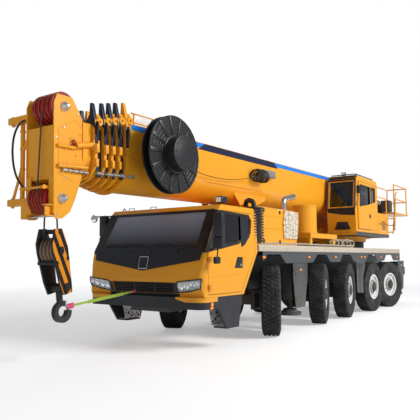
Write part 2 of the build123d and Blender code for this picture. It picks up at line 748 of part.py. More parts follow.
with BuildPart() as turntable:
    with BuildSketch(Plane.XY.offset(TURN_Z0)):
        with Locations((SLEW_X, 0)):
            Circle(TURN_R)
    extrude(amount=PLATFORM_Z - TURN_Z0 - 60)
    with BuildSketch(Plane.XY.offset(RING_Z1 + FIT)):
        with Locations((SLEW_X, 0)):
            Circle(RING_R - 60)
            Circle(RING_R - 160, mode=Mode.SUBTRACT)
    extrude(amount=TURN_Z0 - RING_Z1)
    box((-5400, PLATFORM_FRONT), (-CHEEK_IN - CHEEK_T, CHEEK_IN + CHEEK_T), (PLATFORM_Z - 100, PLATFORM_Z))
    for side in (-1, 1):
        inner, outer = sorted((side * CHEEK_IN, side * (CHEEK_IN + CHEEK_T)))
        side_plate(
            (
                (PLATFORM_FRONT, PLATFORM_Z - 100),
                (PLATFORM_FRONT, PLATFORM_Z + 160),
                (-3300, 2750),
                (FOOT_X + 190, FOOT_Z + 120),
                (FOOT_X + 60, FOOT_Z + 190),
                (FOOT_X - 60, FOOT_Z + 190),
                (FOOT_X - 190, FOOT_Z + 100),
                (-5400, 2960),
                (-6560, 2960),
                (-6620, 2420),
                (-5500, PLATFORM_Z - 60),
                (-5400, PLATFORM_Z - 100),
            ),
            inner,
            outer,
        )
        lug_in = LUFF_EYE_HALF + CLEARANCE
        inner, outer = sorted((side * lug_in, side * (lug_in + LUFF_LUG_T)))
        side_plate(
            (
                (LUFF_X - 450, PLATFORM_Z - 50),
                (LUFF_X + 90, PLATFORM_Z - 90),
                (LUFF_X + 120, LUFF_Z),
                (LUFF_X, LUFF_Z + 125),
                (LUFF_X - 250, LUFF_Z + 120),
            ),
            inner,
            outer,
        )
        flange, deep = sorted((side * 330, side * 360))
        with BuildSketch(Plane.XZ.offset(-deep)):
            with Locations((WINCH_X, WINCH_Z)):
                Circle(WINCH_FLANGE_R)
        extrude(amount=deep - flange)
        inner, outer = sorted((side * (CHEEK_IN + CHEEK_T), side * SILL_OUT))
        box(SILL_X, (inner, outer), (SILL_Z0, PLATFORM_Z + 10))
    box(
        (PLATFORM_FRONT - 30, LUFF_X + 60),
        (-LUFF_EYE_HALF - 60, LUFF_EYE_HALF + 60),
        (PLATFORM_Z - 100, PLATFORM_Z - 85),
    )
    for x, z, radius in ((FOOT_X, FOOT_Z, FOOT_PIN_R), (WINCH_X, WINCH_Z, WINCH_R)):
        with BuildSketch(Plane.XZ.offset(-CHEEK_IN - 10)):
            with Locations((x, z)):
                Circle(radius)
        extrude(amount=2 * CHEEK_IN + 20)
    with BuildSketch(Plane.XZ.offset(-LUFF_EYE_HALF - 50)):
        with Locations((LUFF_X, LUFF_Z)):
            Circle(LUFF_PIN_R)
    extrude(amount=2 * LUFF_EYE_HALF + 100)
    box(LEFT_BODY_X, (600, SILL_OUT), (PLATFORM_Z, BODY_TOP))
    box(RIGHT_BODY_X, (20 - SILL_OUT, -620), (PLATFORM_Z, BODY_TOP + 20))
    box(LOFT_X, (CHEEK_IN, SILL_OUT), (LOFT_Z, LOFT_Z + 45))
    for x in LOFT_X:
        for y in rail_y:
            inset_x = x + (RAIL_IN if x == LOFT_X[0] else -RAIL_IN)
            inset_y = y + (RAIL_IN if y == rail_y[0] else -RAIL_IN)
            rod((inset_x, inset_y, LOFT_Z), (inset_x, inset_y, RAIL_TOP), RAIL_R)
    for z in (RAIL_TOP - RAIL_R, (RAIL_TOP + LOFT_Z) / 2):
        for y in (rail_y[0] + RAIL_IN, rail_y[1] - RAIL_IN):
            rod((LOFT_X[0] + RAIL_IN, y, z), (LOFT_X[1] - RAIL_IN, y, z), RAIL_R)
        x = LOFT_X[0] + RAIL_IN
        rod((x, rail_y[0] + RAIL_IN, z), (x, rail_y[1] - RAIL_IN, z), RAIL_R)
    ladder_y = (LADDER_Y, SILL_OUT - RAIL_IN)
    for y in ladder_y:
        rod((LADDER_X, y, LADDER_Z), (LADDER_X - LADDER_LEAN, y, LOFT_Z + 20), RAIL_R)
    for z in RUNG_Z:
        x = LADDER_X - LADDER_LEAN * (z - LADDER_Z) / (LOFT_Z + 20 - LADDER_Z)
        rod((x, ladder_y[0], z), (x, ladder_y[1], z), RUNG_R)
save(turntable, "turntable")

# Operator's cab: one hollow shell with its windows cut and a door that slides rearward.
OP_Y = (540, 1330)
OP_WALL = 45
OP_SIDE = (
    (-3720, 2200.4),
    (-1900, 2200.4),
    (-1850, 2800),
    (-1960, 3570),
    (-2080, 3700),
    (-3640, 3700),
    (-3720, 3600),
)
OP_SCREEN = ((OP_Y[0] + 70, 2860), (OP_Y[1] - 70, 2860), (OP_Y[1] - 70, 3540), (OP_Y[0] + 70, 3540))
OP_DOOR = ((-3010, 2280), (-2040, 2280), (-2000, 2830), (-2090, 3540), (-3010, 3540))
OP_DOOR_GLASS = ((-2930, 2990), (-2110, 2880), (-2170, 3460), (-2930, 3460))
OP_QUARTER = ((-3540, 3090), (-3110, 3010), (-3110, 3500), (-3540, 3500))
OP_REAR = ((OP_Y[0] + 120, 2950), (OP_Y[1] - 120, 2950), (OP_Y[1] - 120, 3450), (OP_Y[0] + 120, 3450))
OP_DOOR_T = 30
RUNNER_H = 40

with BuildPart() as operator_cab:
    side_plate(OP_SIDE, *OP_Y)
    side_plate(shrunk(OP_SIDE, OP_WALL), OP_Y[0] + OP_WALL, OP_Y[1] - OP_WALL, mode=Mode.SUBTRACT)
    for points in (shrunk(OP_DOOR, 30), OP_QUARTER):
        side_plate(points, OP_Y[1] - 2 * OP_WALL, OP_Y[1] + 1, mode=Mode.SUBTRACT)
    side_plate(OP_DOOR_GLASS, OP_Y[0] - 1, OP_Y[0] + 2 * OP_WALL, mode=Mode.SUBTRACT)
    for points, x, depth in ((OP_SCREEN, -1800, 330), (OP_REAR, -3600, 200)):
        with BuildSketch(Plane.YZ.offset(x)):
            with BuildLine():
                Polyline(*points, close=True)
            make_face()
        extrude(amount=-depth, mode=Mode.SUBTRACT)
save(operator_cab, "operator_cab")

with BuildPart() as operator_door:
    side_plate(OP_DOOR, OP_Y[1] + CLEARANCE, OP_Y[1] + CLEARANCE + OP_DOOR_T)
    side_plate(OP_DOOR_GLASS, OP_Y[1], OP_Y[1] + 60, mode=Mode.SUBTRACT)
    for z in (2285, 3535 - RUNNER_H):
        box((-3000, -2110), (OP_Y[1] + FIT, OP_Y[1] + CLEARANCE), (z, z + RUNNER_H))
save(operator_door, "operator_door")

# Boom: a base and five sections, each a round-bottomed tube that slides in the last one.
dip = radians(BOOM_DIP)
along_boom = Vector(cos(dip), 0, -sin(dip))
foot = Vector(FOOT_X, 0, FOOT_Z)
boom_side = Plane(origin=foot, x_dir=along_boom, z_dir=(0, -1, 0))
BASE_HALF = 450
BASE_TOP = 620
BOOM_WALL = 12
SECTION_STEP = 26
BASE_REAR = 350
BASE_FRONT = 10860
COLLAR = 45
COLLAR_T = 50
FIN_H = 300
FIN = (
    # a horn's corners: out from the section's side, up from its top
    (-190, 0),
    (-130, COLLAR + 20),
    (-75, 130),
    (-60, FIN_H),
    (-35, FIN_H),
    (COLLAR, COLLAR - 60),
)
PAD_L = 200
PAD_HALF = 110
SECTIONS = (
    # distance of each section's front end from the foot pin
    11010,
    11130,
    11250,
    11410,
    11580,
)
SECTION_REAR = 560
REAR_STEP = 110
ROD_EYE = (6989, -602)
ROD_EYE_HALF = 80
ROD_R = 125
BARREL_R = 170
BRACKET_T = 40
REEL_AT = (10175, 145)
REEL_STUB_R = 130
REEL_STUB_OUT = 660
REEL_PIN_R = 60
REEL_PIN_OUT = 800


def across_boom(u):
    """The plane across the boom at a distance from its foot pin."""
    return Plane(origin=foot + along_boom * u, x_dir=(0, 1, 0), z_dir=along_boom)


def boom_point(u, y, v):
    """A point along the boom, to its left and up from its centre."""
    return foot + along_boom * u + Vector(0, y, 0) + Vector(sin(dip), 0, cos(dip)) * v


def tube(u0, u1, half, top, mode=Mode.ADD):
    """A length of the boom's outline: straight sides over a half-round bottom."""
    with BuildSketch(across_boom(u0)) as outline:
        with BuildLine():
            Polyline((half, 0), (half, top), (-half, top), (-half, 0))
            ThreePointArc((-half, 0), (0, -half), (half, 0))
        make_face()
    extrude(outline.sketch, amount=u1 - u0, mode=mode)


def boom_plate(points, y0, y1, mode=Mode.ADD):
    """A plate drawn beside the boom as distances along and up, from y0 to y1."""
    with BuildSketch(boom_side.offset(-y1)) as outline:
        with BuildLine():
            Polyline(*points, close=True)
        make_face()
    extrude(outline.sketch, amount=y1 - y0, mode=mode)


def boom_bar(u, v, radius, y0, y1, mode=Mode.ADD):
    """A round bar across the boom, from y0 to y1."""
    with BuildSketch(boom_side.offset(-y1)) as end_face:
        with Locations((u, v)):
            Circle(radius)
    extrude(end_face.sketch, amount=y1 - y0, mode=mode)


def wear_pad(rear, low, high):
    """A sliding pad on top of a section, from its rear end and between two heights."""
    front = rear + PAD_L
    boom_plate(((rear, low), (front, low), (front, high), (rear, high)), -PAD_HALF, PAD_HALF)


def collar_and_fins(front, half, top):
    """The stiff ring at a section's mouth, with a horn at each upper corner."""
    tube(front - COLLAR_T, front, half + COLLAR, top + COLLAR)
    for side in (-1, 1):
        with BuildSketch(across_boom(front - COLLAR_T)) as horn:
            with BuildLine():
                Polyline(*[(side * (half + out), top + up) for out, up in FIN], close=True)
            make_face()
        extrude(horn.sketch, amount=COLLAR_T / 2)


with BuildPart() as boom_base:
    tube(BASE_REAR, BASE_FRONT, BASE_HALF, BASE_TOP)
    collar_and_fins(BASE_FRONT, BASE_HALF, BASE_TOP)
    boom_plate(((7610, -200), (7200, -462), (6780, -462), (6280, -300), (6280, 80), (7610, 80)), -400, 400)
    for side in (-1, 1):
        bracket_in = ROD_EYE_HALF + CLEARANCE
        inner, outer = sorted((side * bracket_in, side * (bracket_in + BRACKET_T)))
        u, v = ROD_EYE
        boom_plate(((u - 330, -400), (u - 95, v - 100), (u + 95, v - 100), (u + 330, -400)), inner, outer)
        inner, outer = sorted((side * (BASE_HALF - 60), side * (BASE_HALF - 1)))
        boom_plate(
            ((-110, -110), (BASE_REAR + 60, -250), (BASE_REAR + 60, 400), (60, 150), (-110, 80)),
            inner,
            outer,
        )
        tube_hole = FOOT_PIN_R + FIT
        boom_bar(0, 0, tube_hole, inner - 5, outer + 5, mode=Mode.SUBTRACT)
    tube(BASE_REAR - 5, BASE_FRONT + 5, BASE_HALF - BOOM_WALL, BASE_TOP - BOOM_WALL, mode=Mode.SUBTRACT)
    pad = (BASE_TOP - SECTION_STEP + FIT, BASE_TOP - BOOM_WALL)
    wear_pad(BASE_FRONT - PAD_L, pad[0], pad[1] + 2)
    boom_bar(*REEL_AT, REEL_STUB_R, BASE_HALF - 5, REEL_STUB_OUT)
    boom_bar(*REEL_AT, REEL_PIN_R, REEL_STUB_OUT - 10, REEL_PIN_OUT)
save(boom_base, "boom_base")

HEAD = (
    # distance along the boom and height of the head plates' corners
    (12090, -860),
    (12095, 690),
    (12040, 815),
    (11770, 815),
    (11643, 633),
    (11493, 332),
    (11467, 156),
    (11600, -352),
    (11711, -653),
    (11802, -831),
    (11936, -932),
    (12049, -937),
)
HEAD_HALF = 305
HEAD_T = 20
TOP_SHEAVE = (11910, 655)
LOW_SHEAVE = (11940, -650)
SHEAVE_R = 215
GROOVE = 22
SHEAVE_PIN_R = 45
SHEAVE_PACKS = (
    # pin, left and right end across the boom, number of grooves
    (TOP_SHEAVE, -130, 279, 4),
    (LOW_SHEAVE, -185, 185, 5),
)
HEAD_WEBS = (
    # the plates between the head's sides: front, rear and under the rope's way
    ((12040, -330), (12070, -330), (12080, 370), (12050, 370)),
    ((11520, -300), (11550, -300), (11550, 470), (11520, 470)),
    ((11690, -475), (12068, -378), (12068, -328), (11690, -445)),
)
FRONT_FLANGE = ((12071, -860), (12091, -860), (12091, -330), (12071, -330))
SQUARE = ((-1, -1), (1, -1), (1, 1), (-1, 1))
JIB_U = 11920
JIB_ARM_Y = -905
JIB_ARM_V = (600, -650)
JIB_SLOT = 90
JIB_TUBES = (
    # from y and v, to y and v, radius
    (-620, -650, -620, 600, 35),
    (-620, -100, -860, -640, 22),
    (-620, 100, -330, 590, 22),
)
JIB_FOOT = ((11880, -920), (12090, -920), (12090, -690), (11880, -690))
JIB_FOOT_Y = -420
FRONT_FLANGE_Y = 195

for number, front in enumerate(SECTIONS, 1):
    half = BASE_HALF - SECTION_STEP * number
    top = BASE_TOP - SECTION_STEP * number
    rear = SECTION_REAR + REAR_STEP * (number - 1)
    last = number == len(SECTIONS)
    with BuildPart() as section:
        tube(rear, front, half, top)
        if not last:
            collar_and_fins(front, half, top)
        tube(rear - 5, front + 5, half - BOOM_WALL, top - BOOM_WALL, mode=Mode.SUBTRACT)
        pad = (top - 2, top + SECTION_STEP - BOOM_WALL - FIT)
        wear_pad(rear, *pad)
        if not last:
            pad = (top - SECTION_STEP + FIT, top - BOOM_WALL + 2)
            wear_pad(front - PAD_L, *pad)
        else:
            for side in (-1, 1):
                inner, outer = sorted((side * (HEAD_HALF - HEAD_T), side * HEAD_HALF))
                boom_plate(HEAD, inner, outer)
            inside = HEAD_HALF - HEAD_T + 1
            for points in HEAD_WEBS:
                boom_plate(points, -inside, inside)
            for side in (-1, 1):
                inner, outer = sorted((side * FRONT_FLANGE_Y, side * inside))
                boom_plate(FRONT_FLANGE, inner, outer)
            boom_plate(JIB_FOOT, JIB_FOOT_Y, 2 - HEAD_HALF)
            for u, v in (TOP_SHEAVE, LOW_SHEAVE):
                boom_bar(u, v, SHEAVE_PIN_R, -HEAD_HALF - 30, HEAD_HALF + 30)
            for v in JIB_ARM_V:
                arm = [(JIB_U + along * 60, v + up * 45) for along, up in SQUARE]
                slot = [(JIB_U + along * 30, v + up * 50) for along, up in SQUARE]
                boom_plate(arm, JIB_ARM_Y, 2 - HEAD_HALF)
                boom_plate(slot, JIB_ARM_Y - 1, JIB_ARM_Y + JIB_SLOT, mode=Mode.SUBTRACT)
            for start_y, start_v, end_y, end_v, radius in JIB_TUBES:
                rod(boom_point(JIB_U, start_y, start_v), boom_point(JIB_U, end_y, end_v), radius)
    if last:
        with BuildPart() as sheaves:
            for (u, v), first, end, grooves in SHEAVE_PACKS:
                axle = Plane(origin=boom_point(u, 0, v), x_dir=(0, 1, 0), z_dir=(1, 0, 0))
                groove_w = (end - first) / (2 * grooves + 1)
                rows = []
                for index in range(2 * grooves + 1):
                    depth = GROOVE if index % 2 else 0
                    start = first + index * groove_w
                    rows.append((start, start + groove_w, SHEAVE_PIN_R + FIT, SHEAVE_R - depth))
                rings(axle, rows)
        section.part = Part(Compound([*section.part.solids(), *sheaves.part.solids()]).wrapped)
    save(section, f"tele_{number}")

# Luffing cylinder: a barrel on the turntable and a rod whose eye sits in the boom's bracket.
eye_point = boom_point(ROD_EYE[0], 0, ROD_EYE[1])
barrel_foot = Vector(LUFF_X, 0, LUFF_Z)
along_rod = (eye_point - barrel_foot).normalized()
rod_span = (eye_point - barrel_foot).length
cylinder_side = Plane(origin=barrel_foot, x_dir=along_rod, z_dir=(0, -1, 0))
EYE_NECK = 300
ROD_SHOWN = EYE_NECK + 167
BARREL_L = rod_span - ROD_SHOWN
BARREL_REAR = 210
ROD_REAR = BARREL_REAR + 20


def cylinder_eye(at, radius, half, neck):
    """A round eye across the cylinder with a neck along it."""
    with BuildSketch(cylinder_side.offset(-half)) as eye_face:
        with Locations((at, 0)):
            Circle(radius)
        with Locations((at + neck / 2, 0)):
            Rectangle(abs(neck), 2 * radius - 20)
    extrude(eye_face.sketch, amount=2 * half)


with BuildPart() as luff_barrel:
    cylinder_eye(0, LUFF_EYE_R, LUFF_EYE_HALF, BARREL_REAR + 30)
    with BuildSketch(Plane(origin=barrel_foot + along_rod * BARREL_REAR, z_dir=along_rod)):
        Circle(BARREL_R)
    extrude(amount=BARREL_L - BARREL_REAR)
    with BuildSketch(Plane(origin=barrel_foot + along_rod * (ROD_REAR - CLEARANCE), z_dir=along_rod)):
        Circle(ROD_R + FIT)
    extrude(amount=BARREL_L, mode=Mode.SUBTRACT)
    with BuildSketch(cylinder_side.offset(-LUFF_EYE_HALF - 5)):
        Circle(LUFF_PIN_R + FIT)
    extrude(amount=2 * LUFF_EYE_HALF + 10, mode=Mode.SUBTRACT)
save(luff_barrel, "luff_barrel")

with BuildPart() as luff_rod:
    with BuildSketch(Plane(origin=barrel_foot + along_rod * ROD_REAR, z_dir=along_rod)):
        Circle(ROD_R)
    extrude(amount=rod_span - ROD_REAR - EYE_NECK)
    cylinder_eye(rod_span, LUFF_EYE_R - 8, ROD_EYE_HALF, -EYE_NECK - 2)
save(luff_rod, "luff_rod")

# Cable reel on the boom's left side, turning on a stub from the boom.
REEL_R = 630
REEL_CORE_R = 300
REEL_HUB_R = 285
REEL_IN = 760
REEL_OUT = 925
REEL_SIDE_T = 25
REEL_HUB_OUT = 1120
reel = Plane(origin=boom_point(REEL_AT[0], 0, REEL_AT[1]), x_dir=(0, 1, 0), z_dir=(1, 0, 0))

with BuildPart() as cable_reel:
    rings(
        reel,
        (
            # from and to across the boom, inner and outer radius
            (REEL_IN, REEL_IN + REEL_SIDE_T, REEL_PIN_R + FIT, REEL_R),
            (REEL_IN + REEL_SIDE_T, REEL_OUT - REEL_SIDE_T, REEL_PIN_R + FIT, REEL_CORE_R),
            (REEL_OUT - REEL_SIDE_T, REEL_OUT, 0, REEL_R),
            (REEL_OUT, REEL_HUB_OUT, 0, REEL_HUB_R),
        ),
    )
save(cable_reel, "cable_reel")

# Hook block, hung from the head by its rope falls and leaning back towards the bumper.
BLOCK_TOP = (7020, 0, 1930)
BLOCK_LEAN = 15
BLOCK_TURN = 18
lean = radians(BLOCK_LEAN)
turn = radians(BLOCK_TURN)
block_x = Vector(cos(lean) * cos(turn), cos(lean) * sin(turn), -sin(lean))
block = Plane(origin=BLOCK_TOP, x_dir=block_x, z_dir=(sin(turn), -cos(turn), 0))
CHEEK = (
    # across and up on the block's cheek plates
    (-175, -30),
    (-15, 0),
    (105, -190),
    (110, -330),
    (52, -780),
    (-10, -975),
    (-225, -1000),
    (-240, -880),
    (-265, -320),
)
CHEEK_HALF = 140
CHEEK_PLATE = 28
BLOCK_SHEAVE = (-78, -330)
BLOCK_SHEAVE_R = 180
BLOCK_PINS = (
    # place on the cheek, radius
    (BLOCK_SHEAVE, 45),
    ((-100, -60), 26),
    ((70, -480), 20),
    ((-215, -480), 20),
    ((-105, -890), 60),
)
SHANK_R = 48
HOOK_OUT = 157
HOOK_IN = 82
HOOK_DROP = 1270
HOOK_T = 84
FALL_R = 12
FALLS = (
    # where each rope fall leaves the block, and how far behind the head's sheave pin it ends
    ((7011, -67, 1740), 0),
    ((6815, 0, 1790), 152),
)


def block_bar(at, radius, half, mode=Mode.ADD):
    """A round bar across the hook block."""
    with BuildSketch(block.offset(-half)) as end_face:
        with Locations(at):
            Circle(radius)
    extrude(end_face.sketch, amount=2 * half, mode=mode)


with BuildPart() as hook_block:
    for side in (-1, 1):
        inner, outer = sorted((side * (CHEEK_HALF - CHEEK_PLATE), side * CHEEK_HALF))
        with BuildSketch(block.offset(-outer)):
            with BuildLine():
                Polyline(*CHEEK, close=True)
            make_face()
        extrude(amount=outer - inner)
    for at, radius in BLOCK_PINS:
        block_bar(at, radius, CHEEK_HALF + 12)
    block_bar(BLOCK_SHEAVE, BLOCK_SHEAVE_R, CHEEK_HALF - CHEEK_PLATE - 12)
    hook_at = block.from_local_coords(Vector(-105, -HOOK_DROP, 0))
    bowl = Plane(origin=hook_at, x_dir=(1, 0, 0), z_dir=(0, -1, 0))
    with BuildSketch(bowl.offset(-HOOK_T / 2)):
        Circle(HOOK_OUT)
        with Locations((8, 8)):
            Circle(HOOK_IN, mode=Mode.SUBTRACT)
        with Locations((-115, 105)):
            Rectangle(170, 170, mode=Mode.SUBTRACT)
    extrude(amount=HOOK_T)
    shank_top = block.from_local_coords(Vector(-105, -880, 0))
    rod(tuple(hook_at + Vector(35, 0, HOOK_OUT - 40)), tuple(shank_top), SHANK_R)
    low_pin = boom_point(LOW_SHEAVE[0], 0, LOW_SHEAVE[1])
    groove_r = SHEAVE_R - GROOVE + FIT
    for start, behind in FALLS:
        if behind:
            reach = groove_r + FALL_R
            end = Vector(low_pin.X - behind, start[1], low_pin.Z - sqrt(reach**2 - behind**2))
        else:
            pin_point = Vector(low_pin.X, start[1], low_pin.Z)
            end = pin_point + (Vector(*start) - pin_point).normalized() * groove_r
        rod(start, tuple(end), FALL_R)
save(hook_block, "hook_block")
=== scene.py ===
import math

import bmesh
import bpy
from mathutils import Matrix, Vector
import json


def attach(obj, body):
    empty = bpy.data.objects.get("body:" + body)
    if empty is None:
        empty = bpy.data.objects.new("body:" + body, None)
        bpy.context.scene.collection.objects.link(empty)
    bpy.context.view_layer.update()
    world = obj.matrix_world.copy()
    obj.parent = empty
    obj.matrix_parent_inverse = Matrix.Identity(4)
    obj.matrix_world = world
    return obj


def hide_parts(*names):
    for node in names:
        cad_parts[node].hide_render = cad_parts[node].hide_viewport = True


# Five-axle mobile crane, parked with its boom laid forward over the cab.
# Metres, +X forward, +Y to the crane's left, +Z up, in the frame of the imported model.

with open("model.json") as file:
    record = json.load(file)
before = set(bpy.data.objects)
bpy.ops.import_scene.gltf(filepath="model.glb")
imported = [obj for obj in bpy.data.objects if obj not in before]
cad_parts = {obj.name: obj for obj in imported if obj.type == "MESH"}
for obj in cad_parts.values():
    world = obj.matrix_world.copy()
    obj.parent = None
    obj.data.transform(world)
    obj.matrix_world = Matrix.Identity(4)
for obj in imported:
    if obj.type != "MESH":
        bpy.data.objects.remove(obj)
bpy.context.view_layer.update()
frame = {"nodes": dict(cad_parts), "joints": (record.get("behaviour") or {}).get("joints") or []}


# Carrier frame: a welded box of thick plate in satin grey-black paint, dusty from the
# road. Cross boxes for the outriggers, the toothed slewing ring and the rear towing
# coupling are welded or bolted to it.
USUAL_OUTPUT = {
    "AddShader": "Shader", "Background": "Background", "Bump": "Normal", "Emission": "Emission",
    "HueSaturation": "Color", "LightPath": "Is Camera Ray", "MapRange": "Result", "Mapping": "Vector",
    "Math": "Value", "Mix": "Result", "MixShader": "Shader", "NewGeometry": "Normal", "SeparateXYZ": "Z",
    "TexCoord": "Object", "TexNoise": "Fac", "TexVoronoi": "Distance", "TexWave": "Fac",
    "ValToRGB": "Color", "VectorMath": "Value",
}


def feed(target, values):
    """Sets a node's inputs, or joins them to the outputs given."""
    for key, value in values.items():
        if isinstance(value, bpy.types.NodeSocket):
            target.id_data.links.new(value, target.inputs[key])
        else:
            target.inputs[key].default_value = value


def node(tree, kind, values=None, **settings):
    """Adds a shader node, sets it up and gives back its usual output."""
    made = tree.nodes.new("ShaderNode" + kind)
    for key, value in settings.items():
        setattr(made, key, value)
    feed(made, values or {})
    return made.outputs[USUAL_OUTPUT[kind]]


def sums(tree, operation, *terms, **settings):
    """A calculation on its terms in order."""
    return node(tree, "Math", dict(enumerate(terms)), operation=operation, **settings)


def between(tree, factor, first, last):
    """A colour mixed from two by a factor."""
    return node(tree, "Mix", {"Factor": factor, "A": first, "B": last}, data_type="RGBA")


def paint_and_road_film():
    """Paint that dulls in cloudy patches, with pale dust on top faces and a film low down."""
    group = bpy.data.node_groups.new("paint and road film", "ShaderNodeTree")
    for name, kind, value in (
        ("Paint", "Color", (0.8, 0.8, 0.8, 1)),
        ("Film", "Color", (0.3, 0.27, 0.22, 1)),
        ("Film amount", "Float", 0.5),
        ("Film top", "Float", 1.6),
        ("Gloss roughness", "Float", 0.3),
    ):
        socket = group.interface.new_socket(name=name, in_out="INPUT", socket_type="NodeSocket" + kind)
        socket.default_value = value
    for name, kind in (("Colour", "Color"), ("Roughness", "Float"), ("Height", "Float")):
        group.interface.new_socket(name=name, in_out="OUTPUT", socket_type="NodeSocket" + kind)
    entry = group.nodes.new("NodeGroupInput").outputs
    place = node(group, "TexCoord")

    clouds = node(group, "TexNoise", {"Vector": place, "Scale": 1.7, "Detail": 6, "Roughness": 0.62})
    stretched = node(group, "Mapping", {"Vector": place, "Scale": (9, 9, 0.8)})
    streaks = node(group, "TexNoise", {"Vector": stretched, "Scale": 1.5, "Detail": 4})
    grain = node(group, "TexNoise", {"Vector": place, "Scale": 240, "Detail": 2})
    height = node(group, "SeparateXYZ", {"Vector": place})
    low_range = {"Value": height, "From Min": 0.1, "From Max": entry["Film top"], "To Min": 1, "To Max": 0.12}
    low = node(group, "MapRange", low_range, interpolation_type="SMOOTHSTEP")
    facing = node(group, "SeparateXYZ", {"Vector": node(group, "NewGeometry")})
    upward = node(group, "MapRange", {"Value": facing, "From Min": 0.35, "From Max": 1, "To Max": 0.45})

    patches = node(group, "MapRange", {"Value": clouds, "From Min": 0.36, "From Max": 0.72})
    runs = sums(group, "MULTIPLY", streaks, patches)
    mask = sums(group, "MULTIPLY", sums(group, "MAXIMUM", low, upward), entry["Film amount"])
    spread = sums(group, "MULTIPLY_ADD", runs, 1.5, 0.18)
    cover = sums(group, "MULTIPLY", mask, spread, use_clamp=True)

    shade = node(group, "MapRange", {"Value": clouds, "To Min": 0.93, "To Max": 1.06})
    faded = node(group, "HueSaturation", {"Color": entry["Paint"], "Value": shade})
    colour = between(group, cover, faded, entry["Film"])
    rough = node(group, "Mix", {"Factor": cover, "A": entry["Gloss roughness"], "B": 0.85})
    feed(group.nodes.new("NodeGroupOutput"), {"Colour": colour, "Roughness": rough, "Height": grain})
    return group


road_film = paint_and_road_film()


def bare_material(name, values=None):
    """A new material, with its tree and its shader at hand."""
    material = bpy.data.materials.new(name)
    material.use_nodes = True
    shader = material.node_tree.nodes["Principled BSDF"]
    feed(shader, values or {})
    return material, material.node_tree, shader


def bumped(shader, height, distance, strength=1.0):
    """Raises a shader's surface by a height."""
    values = {"Height": height, "Distance": distance, "Strength": strength}
    feed(shader, {"Normal": node(shader.id_data, "Bump", values)})


ROAD_DUST = (0.3, 0.27, 0.22)


def painted(name, colour, amount, top, roughness, coat=0.0, metallic=0.0, grain=0.12, film=ROAD_DUST):
    """Painted metal: its colour, the amount of road film, how high that reaches, and its gloss."""
    material, tree, shader = bare_material(name)
    coated = tree.nodes.new("ShaderNodeGroup")
    coated.node_tree = road_film
    values = {"Paint": (*colour, 1), "Film": (*film, 1), "Film amount": amount, "Film top": top}
    feed(coated, {**values, "Gloss roughness": roughness})
    bumped(shader, coated.outputs["Height"], 0.0006, grain)
    feed(shader, {"Base Color": coated.outputs["Colour"], "Roughness": coated.outputs["Roughness"]})
    feed(shader, {"Coat Weight": coat, "Coat Roughness": 0.08, "Metallic": metallic})
    return material


def dress(material, *names):
    """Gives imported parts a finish."""
    for name in names:
        for place in frame["nodes"][name].material_slots:
            place.material = material


dress(painted("chassis grey-black", (0.04, 0.046, 0.052), 0.42, 1.6, 0.42), "carrier_frame")

# Axle beams, steering knuckles and brake drums: cast and welded steel in the same paint,
# duller, because they run in the spray of the wheels.
running_gear_paint = painted("running gear black", (0.03, 0.032, 0.034), 0.8, 1.6, 0.55)
SIDES = ((1, "left"), (-1, "right"))
wheel_places = [f"{number}_{side}" for number in range(1, 6) for _, side in SIDES]
dress(running_gear_paint, "axle_beams", *(f"knuckle_{wheel}" for wheel in wheel_places))


# Tyres: wide radials for road and site, black rubber with a grey dusting. The tread is
# four rows of blocks with open shoulders, moulded with the carcass.
def rubber(name, colour, roughness=0.72, dust=0.5):
    """Black rubber with fine moulding grain and pale dust in patches."""
    material, tree, shader = bare_material(name, {"Roughness": roughness})
    place = node(tree, "TexCoord")
    patches = node(tree, "TexNoise", {"Vector": place, "Scale": 5, "Detail": 7})
    dusty = node(tree, "MapRange", {"Value": patches, "From Min": 0.4, "From Max": 0.75, "To Max": dust})
    feed(shader, {"Base Color": between(tree, dusty, (*colour, 1), (0.1, 0.095, 0.085, 1))})
    bumped(shader, node(tree, "TexNoise", {"Vector": place, "Scale": 320}), 0.001, 0.25)
    return material


def piece_from(shape, name, material, body="chassis", crease=32):
    """Turns a finished bmesh into a piece that rides on a body."""
    bmesh.ops.recalc_face_normals(shape, faces=shape.faces)
    mesh = bpy.data.meshes.new(name)
    shape.to_mesh(mesh)
    shape.free()
    mesh.materials.append(material)
    for polygon in mesh.polygons:
        polygon.use_smooth = True
    mesh.set_sharp_from_angle(angle=math.radians(crease))
    piece = bpy.data.objects.new(name, mesh)
    bpy.context.scene.collection.objects.link(piece)
    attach(piece, body)
    return piece


def build(name, material, *steps, body="chassis", slot="trim_black"):
    """Makes a piece step by step: each step is a maker and what it is given."""
    shape = bmesh.new()
    for maker, *values in steps:
        maker(shape, *values)
    return piece_from(shape, name, material, body)


ACROSS = Vector((0, 1, 0))


def spun(shape, profile, steps, centre=(0, 0, 0), axis=ACROSS, closed=True):
    """Spins a run of (along the axis, radius) points into a round form."""
    axis = Vector(axis).normalized()
    across = axis.orthogonal().normalized()
    centre = Vector(centre)
    dots = [shape.verts.new(centre + axis * along + across * radius) for along, radius in profile]
    ends = list(zip(dots, dots[1:]))
    if closed:
        ends.append((dots[-1], dots[0]))
    edges = [shape.edges.new(pair) for pair in ends]
    turned = {"cent": centre, "axis": axis, "angle": math.tau, "steps": steps}
    bmesh.ops.spin(shape, geom=dots + edges, use_merge=True, use_normal_flip=False, **turned)
    bmesh.ops.remove_doubles(shape, verts=shape.verts, dist=0.00005)


